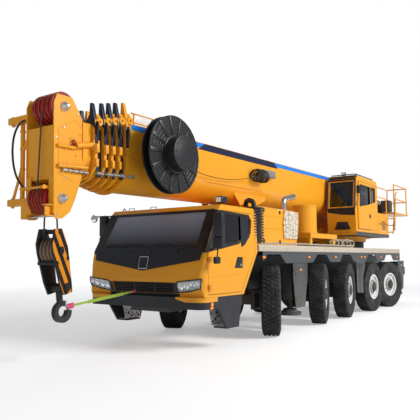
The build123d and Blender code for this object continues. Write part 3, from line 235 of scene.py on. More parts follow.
TYRE_R = 0.6835
TREAD_DEPTH = 0.02
TREAD_BLOCKS = 46
TREAD_ROWS = (
    # middle across the tyre, width, share of a pitch it is turned by, length as a share of a pitch
    (-0.118, 0.066, 0.0, 0.62),
    (-0.04, 0.062, 0.5, 0.66),
    (0.04, 0.062, 0.15, 0.66),
    (0.118, 0.066, 0.65, 0.62),
)
CROWN = TYRE_R - TREAD_DEPTH
TYRE_WALL = (
    (0.132, 0.318), (0.15, 0.345), (0.156, 0.372), (0.17, 0.38), (0.181, 0.43), (0.187, 0.49),
    (0.186, 0.545), (0.181, 0.59), (0.172, 0.612), (0.158, CROWN - 0.004), (0.1, CROWN),
)
tyre_rubber = rubber("tyre rubber", (0.012, 0.012, 0.013))


def tread_block(shape, middle, width, share, turn):
    """One leaning, tapered tread block; those in the outer rows run down over the shoulder."""
    height = TREAD_DEPTH + 0.012
    verts = bmesh.ops.create_cube(shape, size=1)["verts"]
    bmesh.ops.scale(shape, vec=(share * math.tau / TREAD_BLOCKS * TYRE_R, width, height), verts=verts)
    for vert in verts:
        at_shoulder = abs(middle) > 0.1 and vert.co.y * middle > 0
        vert.co.x += (0.01 if middle < 0 else -0.01) * math.copysign(1, vert.co.y)
        if vert.co.z > 0:
            vert.co.x *= 0.86
            vert.co.y *= 0.9
            vert.co.z -= 0.004 if at_shoulder else 0
        elif at_shoulder:
            vert.co.y += math.copysign(0.016, middle)
            vert.co.z -= 0.014
    place = Matrix.Rotation(turn, 4, "Y") @ Matrix.Translation((0, middle, TYRE_R - height / 2))
    bmesh.ops.transform(shape, matrix=place, verts=verts)


joints = {joint["name"]: joint for joint in frame["joints"]}


def wheel_piece(shape, name, wheel, material, crease=32):
    """Puts a shape made about Y onto a wheel, at its centre and along its outward axis."""
    joint = joints[f"wheel_spin_{wheel}"]
    outward = Vector(joint["axis"])
    turn = Matrix.Rotation(math.atan2(-outward.x, outward.y), 4, "Z")
    bmesh.ops.transform(shape, matrix=Matrix.Translation(Vector(joint["pos_m"])) @ turn, verts=shape.verts)
    return piece_from(shape, f"{name}_{wheel}", material, f"wheel_{wheel}", crease)


for wheel in wheel_places:
    shape = bmesh.new()
    spun(shape, [*TYRE_WALL, *((-along, radius) for along, radius in reversed(TYRE_WALL))], 84)
    for middle, width, turned, share in TREAD_ROWS:
        for index in range(TREAD_BLOCKS):
            tread_block(shape, middle, width, share, (index + turned) * (math.tau / TREAD_BLOCKS))
    tyre = wheel_piece(shape, "tread_tyre", wheel, tyre_rubber, 28)
    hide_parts(f"tyre_{wheel}")

# Rims: one-piece steel wheels, sprayed grey-white, with a ring of round hand holes. Twenty
# studs with nuts hold each one to its hub, whose planetary cover stands out in the middle.
rim_paint = painted("rim grey-white", (0.8, 0.8, 0.79), 0.25, 2.4, 0.38)
hub_paint = painted("hub dark", (0.035, 0.034, 0.033), 0.3, 2.4, 0.5)
nut_steel = painted("nut steel", (0.32, 0.32, 0.31), 0.4, 2.4, 0.35, metallic=0.8)
HUB = (
    (0.149, 0.0), (0.149, 0.132), (0.158, 0.134), (0.164, 0.128), (0.164, 0.108),
    (0.186, 0.1), (0.192, 0.084), (0.192, 0.045), (0.2, 0.038), (0.202, 0.0),
)


def studs(shape, count, circle, *rows):
    """A ring of studs along Y, from rows of radius, number of sides, length and place."""
    for index in range(count):
        turn = Matrix.Rotation(math.tau * index / count, 4, "Y")
        for radius, sides, depth, out in rows:
            size = {"segments": sides, "radius1": radius, "radius2": radius, "depth": depth}
            made = bmesh.ops.create_cone(shape, cap_ends=True, **size)
            place = turn @ Matrix.Translation((circle, out, 0)) @ Matrix.Rotation(math.pi / 2, 4, "X")
            bmesh.ops.transform(shape, matrix=place, verts=made["verts"])


for wheel in wheel_places:
    dress(rim_paint, f"rim_{wheel}")
    shape = bmesh.new()
    spun(shape, HUB, 40, closed=False)
    studs(shape, 12, 0.118, (0.0085, 6, 0.012, 0.169))
    wheel_piece(shape, "hub_cover", wheel, hub_paint)
    shape = bmesh.new()
    studs(shape, 20, 0.168, (0.0165, 6, 0.022, 0.105), (0.009, 8, 0.02, 0.122))
    wheel_piece(shape, "wheel_nuts", wheel, nut_steel)


# Deck: chequer plate walkway over the frame, with a pale edge rail along each side. Pale
# hydraulic pipes are clipped along the left edge, and loops of hose lie beside them.
def ease(shape, verts, bevel, segments=2):
    """Rounds the edges that meet some corners, if a bevel is given."""
    if bevel:
        edges = list({edge for vert in verts for edge in vert.link_edges})
        values = {"offset": bevel, "segments": segments, "profile": 0.5, "material": -1}
        bmesh.ops.bevel(shape, geom=edges, affect="EDGES", **values)


def block(shape, low, high, bevel=0.0, segments=2):
    """A box between two corners, with its edges eased if a bevel is given."""
    low, high = Vector(low), Vector(high)
    verts = bmesh.ops.create_cube(shape, size=1)["verts"]
    place = Matrix.Translation((low + high) / 2) @ Matrix.Diagonal((*(high - low), 1))
    bmesh.ops.transform(shape, matrix=place, verts=verts)
    ease(shape, verts, bevel, segments)


def side_block(shape, side, low, high, bevel=0.0, segments=2):
    """A box with its places across given for the left, and mirrored on the right."""
    near, far = sorted((side * low[1], side * high[1]))
    block(shape, (low[0], near, low[2]), (high[0], far, high[2]), bevel, segments)


def bar(shape, start, end, radius, segments=12):
    """A round bar between two points."""
    start, end = Vector(start), Vector(end)
    size = {"segments": segments, "radius1": radius, "radius2": radius, "depth": (end - start).length}
    made = bmesh.ops.create_cone(shape, cap_ends=True, **size)
    turn = (end - start).to_track_quat("Z", "Y").to_matrix().to_4x4()
    bmesh.ops.transform(shape, matrix=Matrix.Translation((start + end) / 2) @ turn, verts=made["verts"])


def bars(shape, radius, segments, *points):
    """Round bars from point to point."""
    for start, end in zip(points, points[1:]):
        bar(shape, start, end, radius, segments)


def cross_bar(shape, centre, near, far, radius, segments):
    """A round bar along Y, past a centre."""
    bar(shape, Vector(centre) + ACROSS * near, Vector(centre) + ACROSS * far, radius, segments)


def around(count, radius):
    """Places spaced evenly on a circle."""
    turns = [math.tau * index / count for index in range(count)]
    return [(radius * math.cos(turn), radius * math.sin(turn)) for turn in turns]


def slab(shape, points, normal, thickness, bevel=0.0):
    """A flat plate from its corner points, thickened along a direction."""
    face = shape.faces.new([shape.verts.new(point) for point in points])
    grown = bmesh.ops.extrude_face_region(shape, geom=[face])
    verts = [item for item in grown["geom"] if isinstance(item, bmesh.types.BMVert)]
    bmesh.ops.translate(shape, vec=Vector(normal).normalized() * thickness, verts=verts)
    ease(shape, [*verts, *face.verts], bevel)


def pipe(name, points, radius, material, body="chassis"):
    """A pipe or hose fixed at both ends, on a smooth line past its points."""
    line = bpy.data.curves.new(name, "CURVE")
    line.dimensions = "3D"
    line.bevel_depth = radius
    line.bevel_resolution = 3
    line.resolution_u = 8
    line.use_fill_caps = True
    run = line.splines.new("NURBS")
    run.points.add(len(points) - 1)
    for dot, point in zip(run.points, points):
        dot.co = (*point, 1)
    run.order_u = 3
    run.use_endpoint_u = True
    line.materials.append(material)
    piece = bpy.data.objects.new(name, line)
    bpy.context.scene.collection.objects.link(piece)
    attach(piece, body)


def chequer_plate(name, colour):
    """Painted deck plate with raised crossed bars."""
    material = painted(name, colour, 0.5, 3.0, 0.5)
    tree = material.node_tree
    place = node(tree, "TexCoord")
    waves = []
    for turn in (45, -45):
        turned = node(tree, "Mapping", {"Vector": place, "Rotation": (0, 0, math.radians(turn))})
        waves.append(node(tree, "TexWave", {"Vector": turned, "Scale": 14}))
    bumped(tree.nodes["Principled BSDF"], sums(tree, "MULTIPLY", *waves), 0.003, 0.5)
    return material


DECK_TOP = 1.756
DECK_HALF = 1.275
DECK_X = (-6.06, 3.2)
dress(chequer_plate("deck plate grey", (0.2, 0.2, 0.19)), "deck")
deck_edge_paint = painted("deck edge beige", (0.55, 0.48, 0.38), 0.5, 2.4, 0.5)
for side, name in SIDES:
    low = (DECK_X[0] - 0.004, DECK_HALF - 0.062, DECK_TOP - 0.124)
    high = (DECK_X[1] + 0.004, DECK_HALF + 0.006, DECK_TOP + 0.006)
    feet = [(DECK_X[0] + 0.25 + index * 0.49, 0, DECK_TOP - 0.06) for index in range(19)]
    near, far = side * (DECK_HALF + 0.005), side * (DECK_HALF + 0.013)
    bolts = [(cross_bar, foot, near, far, 0.014, 6) for foot in feet]
    rail = (side_block, side, low, high, 0.008)
    build(f"deck_edge_{name}", deck_edge_paint, rail, *bolts, slot="deck_grey")

hose_rubber = rubber("hose rubber", (0.014, 0.014, 0.015), roughness=0.5, dust=0.25)
hose_cream = rubber("hose cream", (0.42, 0.36, 0.26), roughness=0.6, dust=0.3)
DECK_PIPES = (
    # start and end along the crane, distance from the middle, rise over the deck, radius
    (3.0, -2.35, 1.205, 0.045, 0.022),
    (3.0, -2.3, 1.15, 0.045, 0.022),
    (1.2, -2.2, 1.095, 0.04, 0.018),
)
for index, (start, end, y, rise, radius) in enumerate(DECK_PIPES, 1):
    z = DECK_TOP + rise
    points = [(start, y, z - 0.04), (start - 0.15, y, z), (0.4, y, z), (end + 0.7, y + 0.01, z)]
    points += [(end + 0.25, y - 0.02, z + 0.03), (end, y - 0.2, z + 0.02), (end - 0.1, y - 0.42, z - 0.02)]
    pipe(f"deck_pipe_{index}", points, radius, hose_cream)
COILS = (
    # x, distance from the middle, rise, radius of the loop
    (-0.72, 1.13, 0.115, 0.16),
    (-1.02, 1.12, 0.105, 0.13),
    (-1.52, 1.14, 0.12, 0.17),
    (-1.86, 1.12, 0.105, 0.14),
)
for index, (x, y, rise, radius) in enumerate(COILS, 1):
    points = []
    for step in range(29):
        turn = math.tau * step / 12
        reach = radius * (1 - 0.04 * step / 12) * 1.15
        lift = rise + 0.09 * math.sin(turn)
        points.append((x + reach * math.cos(turn), y + 0.09 * math.sin(turn * 0.5), DECK_TOP + lift))
    pipe(f"deck_hose_loop_{index}", points, 0.019, hose_cream)

# Side panels: dark sheet skirts below the deck, cut out over each wheel, with amber side
# lamps and small handles on the lockers.
skirt_paint = painted("skirt dark grey", (0.05, 0.056, 0.062), 0.55, 1.6, 0.4)
dress(skirt_paint, "side_panels")


def lens(name, colour, glow=0.0):
    """A coloured lamp lens of ribbed plastic."""
    values = {"Base Color": (*colour, 1), "Roughness": 0.18, "Coat Weight": 0.6}
    values |= {"Emission Color": (*colour, 1), "Emission Strength": glow}
    material, tree, shader = bare_material(name, values)
    bumped(shader, node(tree, "TexWave", {"Vector": node(tree, "TexCoord"), "Scale": 40}), 0.001, 0.3)
    return material


amber_lens = lens("amber lens", (0.9, 0.26, 0.01), 0.12)
MARKER_X = (3.02, 1.0, -0.52, -2.35, -2.62, -4.05, -5.7)
MARKER_Z = 1.52
INSIDE = DECK_HALF - 0.002
LOCKER_DOORS = ((-2.42, -2.2), (-2.17, -1.97))
for side, name in SIDES:
    steps = []
    for x in MARKER_X:
        high = (x + 0.055, DECK_HALF + 0.02, MARKER_Z + 0.022)
        steps.append((side_block, side, (x - 0.055, INSIDE, MARKER_Z - 0.022), high, 0.006))
    build(f"side_markers_{name}", amber_lens, *steps)
for side, name in SIDES:
    steps = []
    for start, end in LOCKER_DOORS:
        steps.append((side_block, side, (start, INSIDE, 0.6), (end, DECK_HALF + 0.01, 1.36), 0.006))
        low, high = (start + 0.03, DECK_HALF + 0.008, 1.22), (start + 0.06, DECK_HALF + 0.024, 1.33)
        steps.append((side_block, side, low, high, 0.005))
    build(f"locker_doors_{name}", skirt_paint, *steps, slot="chassis_dark")

# Outriggers: the beams' steel end covers hang flush with the skirts. Each jack is a
# ground rod that ends in a dark float pad.
float_paint = painted("float black", (0.02, 0.021, 0.022), 0.7, 1.2, 0.6)
for place, x in (("front", 1.435), ("rear", -6.15)):
    for side, name in SIDES:
        body = f"outrigger_beam_{place}_{name}"
        dress(skirt_paint, body)
        dress(float_paint, f"outrigger_jack_{place}_{name}")
        near, far = DECK_HALF - 0.001, DECK_HALF + 0.009
        steps = [
            (side_block, side, (x + start, near, low), (x + end, far, high), 0.004)
            for low, high, start, end in ((0.62, 0.7, -0.21, 0.23), (1.2, 1.3, -0.3, 0.3))
        ]
        for along in (-0.24, 0.24):
            for z in (1.16, 1.34):
                low, high = sorted((side * near, side * far))
                steps.append((cross_bar, (x + along, 0, z), low, high + side * 0.008, 0.016, 6))
        build(f"beam_cover_trim_{place}_{name}", skirt_paint, *steps, body=body, slot="chassis_dark")
        # The amber lens glows weakly; on these reflectors, which are no lamps, that glow is painted light.
        step = (side_block, side, (x - 0.05, near, 1.235), (x + 0.06, DECK_HALF + 0.018, 1.275), 0.005)
        build(f"beam_reflector_{place}_{name}", amber_lens, step, body=body)


# Carrier cab: pressed steel shell in yellow, half glossy, with dark glass bonded in black
# surrounds. The seats, dash and steering wheel stand behind the glass.
warm_dust = (0.34, 0.24, 0.12)
crane_yellow = painted("crane yellow", (0.87, 0.37, 0.018), 0.12, 1.9, 0.32, 0.15, grain=0.1, film=warm_dust)
feed(crane_yellow.node_tree.nodes["Principled BSDF"], {"Specular IOR Level": 0.3})
dress(crane_yellow, "cab_shell", "cab_door_left", "cab_door_right")
trim_black = painted("trim black", (0.008, 0.011, 0.018), 0.1, 1.3, 0.35)
dress(trim_black, "front_trim")


def glass(name, tint):
    """Toughened glass, a little tinted."""
    values = {"Base Color": (*tint, 1), "Roughness": 0.02, "Transmission Weight": 1.0, "IOR": 1.45}
    return bare_material(name, values)[0]


def tones(tree, value, first, last):
    """A run of colour from one to another."""
    made = node(tree, "ValToRGB", {"Fac": value})
    for element, colour in zip(made.node.color_ramp.elements, (first, last)):
        element.color = (*colour, 1)
    return made


def hazed(name, colour, scale, low, high):
    """Polished bare metal that is duller in patches."""
    material, tree, shader = bare_material(name, {"Base Color": (*colour, 1), "Metallic": 1.0})
    haze = node(tree, "TexNoise", {"Vector": node(tree, "TexCoord"), "Scale": scale})
    feed(shader, {"Roughness": node(tree, "MapRange", {"Value": haze, "To Min": low, "To Max": high})})
    return material


cab_glass = glass("cab glass", (0.2, 0.23, 0.26))
values = {"Roughness": 0.04, "Transmission Weight": 0.12, "Specular IOR Level": 0.25}
screen_glass, tree, shader = bare_material("dark screen glass", values)
height = node(tree, "SeparateXYZ", {"Vector": node(tree, "TexCoord")})
# The windscreen's colour runs from near black low down to pale blue at the top: a painted reflection of the
# sky.
painted_sky_reflection = node(tree, "MapRange", {"Value": height, "From Min": 1.7, "From Max": 2.29})
feed(shader, {"Base Color": tones(tree, painted_sky_reflection, (0.014, 0.016, 0.021), (0.33, 0.37, 0.48))})
chrome = hazed("reflector chrome", (0.82, 0.83, 0.84), 18, 0.05, 0.2)
lamp_glass = glass("lamp glass", (0.95, 0.96, 0.97))
CAB_TAPER = math.tan(math.radians(2.2))
NOSE = ((0.88, 4.95), (1.12, 5.03), (1.33, 4.985), (1.65, 4.9), (2.32, 4.52), (2.417, 4.42))


def nose_x(z):
    """How far forward the cab's front is at a height."""
    for (low, behind), (high, ahead) in zip(NOSE, NOSE[1:]):
        if z <= high:
            return behind + (ahead - behind) * (z - low) / (high - low)
    return NOSE[-1][1]


def side_y(z):
    """How far out the cab's side is at a height."""
    return 1.3 - (z - 0.88) * CAB_TAPER


def front_face(y, z, out=0.0):
    """A point on the cab's front at a place across and up."""
    return Vector((nose_x(z) + out, y, z))


def on_front(shape, corners, side, out, thickness, bevel=0.0, normal=(1, 0, 0)):
    """A plate on the cab's front."""
    slab(shape, [front_face(side * y, z, out) for y, z in corners], normal, thickness, bevel)


SCREEN_LOW = 1.7
SCREEN_HIGH = 2.29
SCREEN_HALF = 1.05
shape = bmesh.new()
for vert in bmesh.ops.create_grid(shape, x_segments=16, y_segments=8, size=0.5)["verts"]:
    across = vert.co.x * 2
    up = vert.co.y + 0.5
    z = SCREEN_LOW - 0.006 + (SCREEN_HIGH - SCREEN_LOW + 0.012) * up
    half = SCREEN_HALF + 0.012 - 0.02 * up
    vert.co = front_face(across * half, z, -0.004 + 0.006 * (1 - across**2))
bmesh.ops.solidify(shape, geom=shape.faces, thickness=0.006)
piece_from(shape, "windscreen", screen_glass)


def pierced(name, bright, dark, scale, low, high):
    """Sheet with dark cells between pale webs, or the other way about."""
    material, tree, shader = bare_material(name, {"Roughness": 0.55})
    values = {"Vector": node(tree, "TexCoord"), "Scale": scale}
    cells = node(tree, "TexVoronoi", values, feature="DISTANCE_TO_EDGE")
    edge = node(tree, "MapRange", {"Value": cells, "From Min": low, "From Max": high})
    feed(shader, {"Base Color": between(tree, edge, (*dark, 1), (*bright, 1))})
    bumped(shader, edge, 0.008)
    return material


def skin_point(x, z, side, out=0.003):
    """A point a little proud of the cab's side."""
    return Vector((x, side * (side_y(z) + out), z))


def on_side(shape, corners, side, out, thickness, bevel=0.0):
    """A plate along the cab's side."""
    slab(shape, [skin_point(x, z, side, out) for x, z in corners], (0, side, 0), thickness, bevel)


DOOR_WINDOW = ((3.9, 1.79), (4.7, 1.72), (4.34, 2.26), (3.54, 2.26), (3.45, 2.18), (3.5, 1.96))
WINDOW_SKIN = ((3.905, 1.752), (4.846, 1.604), (4.398, 2.312), (3.52, 2.29), (3.428, 2.19), (3.478, 1.942))
QUARTER = ((3.82, 1.7), (3.7, 1.74), (3.52, 1.9), (3.56, 2.25), (3.82, 2.25))
HANDLE = ((4.064, 1.338), (3.799, 1.333), (3.796, 1.526), (3.963, 1.527))
CREASE = ((4.86, 1.196), (4.233, 1.223), (3.567, 1.276))
for side, name in SIDES:
    door = f"cab_door_{name}"
    build(f"door_glass_{name}", cab_glass, (on_side, DOOR_WINDOW, side, -0.02, 0.006), body=door)
    shape = bmesh.new()
    for corners in (DOOR_WINDOW, WINDOW_SKIN):
        run = [shape.verts.new(skin_point(x, z, side)) for x, z in corners]
        for first, second in zip(run, [*run[1:], run[0]]):
            shape.edges.new((first, second))
    bmesh.ops.bridge_loops(shape, edges=shape.edges)
    bmesh.ops.subdivide_edges(shape, edges=shape.edges, cuts=3, use_grid_fill=True)
    for vert in shape.verts:
        vert.co = skin_point(vert.co.x, vert.co.z, side)
    grown = bmesh.ops.extrude_face_region(shape, geom=shape.faces)
    verts = [item for item in grown["geom"] if isinstance(item, bmesh.types.BMVert)]
    bmesh.ops.translate(shape, vec=(0, -side * 0.008, 0), verts=verts)
    piece_from(shape, f"door_window_frame_{name}", trim_black, door)

    steps = []
    for low, high, inner_low, inner_high in ((1.6, 1.65, 1.215, 1.22), (1.65, 2.32, 1.22, 1.172)):
        outer = [(side_y(z) + 0.003, z) for z in (low, high)]
        corners = [(inner_low, low), *outer, (inner_high, high)]
        steps.append((on_front, corners, side, 0.001, 0.004, 0.0, (1, 0, 0.5)))
    wrap = ((1.6, 0.0), (1.6, 0.056), (2.318, 0.132), (2.318, 0.0))
    wrap = [(nose_x(z) - back, z) for z, back in wrap]
    build(f"screen_pillar_{name}", trim_black, *steps, (on_side, wrap, side, 0.0005, 0.003))
    build(f"quarter_panel_{name}", trim_black, (on_side, QUARTER, side, 0.003, 0.003), body=door)

    y = side_y(1.43)
    plate = [(x, side * (y - 0.006), z) for x, z in HANDLE]
    grip = (side_block, side, (3.83, y + 0.006, 1.455), (3.965, y + 0.022, 1.485), 0.006)
    build(f"door_handle_{name}", trim_black, (slab, plate, (0, side, 0), 0.014, 0.004), grip, body=door)
    y = side_y(1.4)
    lock = (cross_bar, (3.87, 0, 1.39), side * y, side * (y + 0.014), 0.018, 16)
    build(f"door_lock_{name}", chrome, lock, body=door, slot="bare_steel")
    points = [skin_point(x, z, side, -0.005) for x, z in CREASE]
    build(f"door_crease_{name}", crane_yellow, (bars, 0.01, 10, *points), body=door, slot="crane_yellow")

# Cab inside: two sprung seats, a dash with a steering wheel, and a console between the
# seats, seen through the glass.
cab_trim = rubber("cab trim charcoal", (0.03, 0.031, 0.034), roughness=0.8, dust=0.1)


def woven(name, colour, roughness=0.9):
    """Close woven cloth with a fine rib."""
    values = {"Base Color": (*colour, 1), "Roughness": roughness, "Sheen Weight": 0.3}
    material, tree, shader = bare_material(name, values)
    values = {"Vector": node(tree, "TexCoord"), "Scale": 60, "Distortion": 1.5}
    bumped(shader, node(tree, "TexWave", values), 0.001)
    return material


seat_cloth = woven("seat cloth", (0.045, 0.047, 0.052))


def boxes(shape, bevel, segments, *limits):
    """Boxes with the same eased edges, from pairs of corners."""
    for low, high in limits:
        block(shape, low, high, bevel, segments)


def hoop(shape, along, reach, thickness, sides, steps, centre=(0, 0, 0), axis=ACROSS):
    """A round wire bent into a ring about an axis."""
    ring = [(along + turned, reach + out) for out, turned in around(sides, thickness)]
    spun(shape, ring, steps, centre, axis)


def seat_at(name, x, y, z, body):
    """A driver's seat facing forward: crowned cushion, back with side rolls and headrest."""
    shape = bmesh.new()
    block(shape, (x - 0.26, y - 0.25, z), (x + 0.26, y + 0.25, z + 0.13), 0.045, 4)
    block(shape, (x - 0.34, y - 0.24, z + 0.08), (x - 0.22, y + 0.24, z + 0.66), 0.045, 4)
    for edge in (-0.225, 0.225):
        block(shape, (x - 0.3, y + edge - 0.04, z + 0.12), (x - 0.18, y + edge + 0.04, z + 0.56), 0.035, 4)
    block(shape, (x - 0.34, y - 0.14, z + 0.68), (x - 0.24, y + 0.14, z + 0.86), 0.035, 4)
    for across in (y - 0.06, y + 0.06):
        bar(shape, (x - 0.29, across, z + 0.6), (x - 0.29, across, z + 0.72), 0.008)
    seat = piece_from(shape, name, seat_cloth, body)


for y, name in ((0.62, "driver"), (-0.62, "passenger")):
    seat_at(f"{name}_seat", 3.95, y, 1.38, "chassis")
    build(f"{name}_seat_base", cab_trim, (block, (3.72, y - 0.17, 0.935), (4.14, y + 0.17, 1.376), 0.02))
build(
    "dashboard",
    cab_trim,
    (block, (4.4, -1.14, 1.3), (4.8, 1.14, 1.6), 0.06, 4),
    (block, (4.36, 0.34, 1.46), (4.52, 0.9, 1.68), 0.04, 4),
    (block, (3.35, -0.22, 0.935), (4.35, 0.22, 1.34), 0.05, 3),
    (bar, (4.46, 0.62, 1.56), (4.28, 0.62, 1.7), 0.03),
)
shape = bmesh.new()
hoop(shape, 0, 0.22, 0.014, 10, 36, axis=(0, 0, 1))
for turn in (90, 210, 330):
    angle = math.radians(turn)
    bar(shape, (0, 0, -0.01), (0.215 * math.cos(angle), 0.215 * math.sin(angle), 0), 0.012, 8)
bar(shape, (0, 0, -0.03), (0, 0, 0.02), 0.06, 20)
wheel_turn = Matrix.Translation((4.26, 0.62, 1.72)) @ Matrix.Rotation(math.radians(-62), 4, "Y")
bmesh.ops.transform(shape, matrix=wheel_turn, verts=shape.verts)
piece_from(shape, "steering_wheel", cab_trim)

# Front: headlamps in pale boxes behind clear covers, three wipers, black covers between
# the lamps, pierced steps, and a bare badge plate. A yellow ribbon runs on the bumper.
# The step metal's dark cells stand for the holes in the step: painted shade between pale webs.
step_metal = pierced("pierced step metal", (0.06, 0.06, 0.06), (0.86, 0.87, 0.88), 14, 0.16, 0.2)
lamp_back = painted("lamp back white", (0.86, 0.87, 0.88), 0.1, 1.0, 0.35)
LAMP = ((0.705, 0.945), (1.0, 0.975), (1.235, 1.03), (1.258, 1.18), (0.775, 1.125))
BOWLS = ((0.83, 1.04, 0.055), (0.95, 1.055, 0.06), (1.08, 1.085, 0.055), (1.185, 1.11, 0.038))
STEP_PLATE = ((3.86, 0.672), (4.44, 0.672), (4.36, 0.372), (3.92, 0.372))


def bowl(shape, spot, radius):
    """A lamp's reflector bowl with its bulb, facing forward."""
    profile = [(-0.002, 0.012), (0.0, radius * 0.7), (0.012, radius * 0.92)]
    profile += [(0.016, radius), (-0.002, radius)]
    spun(shape, profile, 28, spot, (1, 0, 0))
    bar(shape, spot, spot + Vector((0.011, 0, 0)), radius * 0.22, 14)


for side, name in SIDES:
    for out, material, part, slot in (
        (-0.003, lamp_glass, "glass", "trim_black"),
        (-0.024, lamp_back, "back", "deck_grey"),
    ):
        shape = bmesh.new()
        shape.faces.new([shape.verts.new(front_face(side * y, z, out)) for y, z in LAMP])
        bmesh.ops.triangulate(shape, faces=shape.faces)
        bmesh.ops.subdivide_edges(shape, edges=shape.edges, cuts=5, use_grid_fill=True)
        for vert in shape.verts:
            vert.co = front_face(vert.co.y, vert.co.z, out)
        bmesh.ops.solidify(shape, geom=shape.faces, thickness=0.003)
        piece_from(shape, f"headlamp_{part}_{name}", material)
    steps = [(bowl, front_face(side * y, z, -0.022), radius) for y, z, radius in BOWLS]
    build(f"headlamp_bowls_{name}", chrome, *steps)
    rim = []
    for (y0, z0), (y1, z1) in zip(LAMP, [*LAMP[1:], LAMP[0]]):
        rim += [front_face(side * y0, z0), front_face(side * (y0 + y1) / 2, (z0 + z1) / 2)]
    build(f"headlamp_rim_{name}", trim_black, (bars, 0.01, 10, *rim, rim[0]))

    ribbon = [(5.024, side * 0.74), (5.024, side * 0.93), (5.024, side * 1.125)]
    for turn in range(80, -1, -10):
        angle = math.radians(turn)
        ribbon.append((4.86 + 0.1645 * math.sin(angle), side * (1.125 + 0.1645 * math.cos(angle))))
    ribbon.append((4.6, side * 1.2895))
    steps = []
    for index, ((x0, y0), (x1, y1)) in enumerate(zip(ribbon, ribbon[1:])):
        corners = [(x0, y0, 0.805 if index else 0.85), (x1, y1, 0.805), (x1, y1, 0.884), (x0, y0, 0.884)]
        steps.append((slab, corners, (-1, -side * 0.5, 0), 0.004))
    ledge = [(x, y, 0.881) for x, y in ribbon if x > 4.957]
    ledge = [(4.957, ledge[0][1], 0.881), *ledge, (4.957, ledge[-1][1], 0.881)]
    steps.append((slab, ledge, (0, 0, 1), 0.003))
    build(f"bumper_ribbon_{name}", crane_yellow, *steps, slot="crane_yellow")

    treads = [(side_block, side, (3.96, 1.02, z), (4.32, 1.27, z + 0.006), 0.002) for z in (0.726, 0.366)]
    build(f"step_treads_{name}", chrome, *treads, slot="bare_steel")
    plate = (slab, [(x, side * 0.999, z) for x, z in STEP_PLATE], (0, -side, 0), 0.005)
    build(f"step_plates_{name}", step_metal, plate, slot="bare_steel")
    low, high = sorted((side * 1.28, side * 1.297))
    round_lamp = (cross_bar, (4.771, 0, 0.768), low, high + 0.004, 0.033, 20)
    square_lamp = (block, (4.733, low, 0.69), (4.812, high, 0.732), 0.004)
    build(f"bumper_side_lamps_{name}", amber_lens, round_lamp, square_lamp)

WIPERS = (
    # places across: pivot, tip of the arm, ends of the blade
    (-0.43, -0.63, -1.02, -0.6),
    (0.09, -0.17, -0.56, -0.08),
    (0.7, 0.48, 0.24, 0.52),
)
shape = bmesh.new()
for pivot, elbow, start, end in WIPERS:
    foot = front_face(pivot, 1.63, 0.022)
    bar(shape, foot - Vector((0.03, 0, 0)), foot + Vector((0.012, 0, 0)), 0.022, 16)
    bar(shape, foot, front_face(elbow, 1.742, 0.02), 0.009, 8)
    middle = front_face((start + end) / 2, 1.762, 0.014)
    bars(shape, 0.008, 8, front_face(start, 1.752, 0.012), middle, front_face(end, 1.752, 0.012))
piece_from(shape, "screen_wipers", trim_black)
COVERS = (
    ((-0.77, 0.88), (0.77, 0.88), (0.8, 0.932), (-0.8, 0.932)),
    ((0.69, 0.945), (0.76, 0.945), (0.76, 1.11), (0.69, 1.11)),
    ((-0.76, 0.945), (-0.69, 0.945), (-0.69, 1.11), (-0.76, 1.11)),
)
build("front_black_covers", trim_black, *((on_front, corners, 1, 0.0005, 0.004) for corners in COVERS))
RIM_PLATE = ((-0.1, 1.335), (0.1, 1.335), (0.1, 1.545), (-0.1, 1.545))
BARE_PLATE = ((-0.088, 1.347), (0.088, 1.347), (0.088, 1.533), (-0.088, 1.533))
build("bare_badge_rim", chrome, (on_front, RIM_PLATE, 1, 0.0125, 0.006, 0.002), slot="bare_steel")
build("bare_badge_plate", trim_black, (on_front, BARE_PLATE, 1, 0.0175, 0.004))

# Mirrors on tube arms from the doors: black shells in two parts with mirror glass on the
# rear side, and a small one below on the left. Hoops and a work lamp stand on the roof.
values = {"Base Color": (0.75, 0.78, 0.8, 1), "Metallic": 1.0, "Roughness": 0.03}
mirror_glass = bare_material("mirror glass", values)[0]
MIRRORS = (
    # side, name, from x, near y, low, split, high
    (1, "left", 4.78, 1.388, 1.67, 1.845, 2.225),
    (-1, "right", 4.5, 1.318, 1.775, 1.93, 2.33),
)
for side, name, x, y, low, split, high in MIRRORS:
    door = f"cab_door_{name}"
    far = y + 0.164
    body_low = (x - 0.004, y - 0.004, low - 0.004)
    steps = [(side_block, side, body_low, (x + 0.064, far + 0.004, high + 0.004), 0.004)]
    for start, end in ((low - 0.008, split - 0.003), (split + 0.003, high + 0.008)):
        limits = (x - 0.002, y - 0.009, start), (x + 0.094, far + 0.009, end)
        steps.append((side_block, side, *limits, 0.024, 4))
    build(f"mirror_shells_{name}", trim_black, *steps, body=door)
    steps = []
    for start, end in ((low + 0.01, split - 0.012), (split + 0.012, high - 0.01)):
        limits = (x - 0.008, y + 0.01, start), (x - 0.003, far - 0.01, end)
        steps.append((side_block, side, *limits, 0.002, 1))
    build(f"mirror_faces_{name}", mirror_glass, *steps, body=door)


def ball(shape, centre, radius, round_steps=16, rows=10):
    """A ball about a centre."""
    made = bmesh.ops.create_uvsphere(shape, u_segments=round_steps, v_segments=rows, radius=radius)
    bmesh.ops.translate(shape, vec=centre, verts=made["verts"])


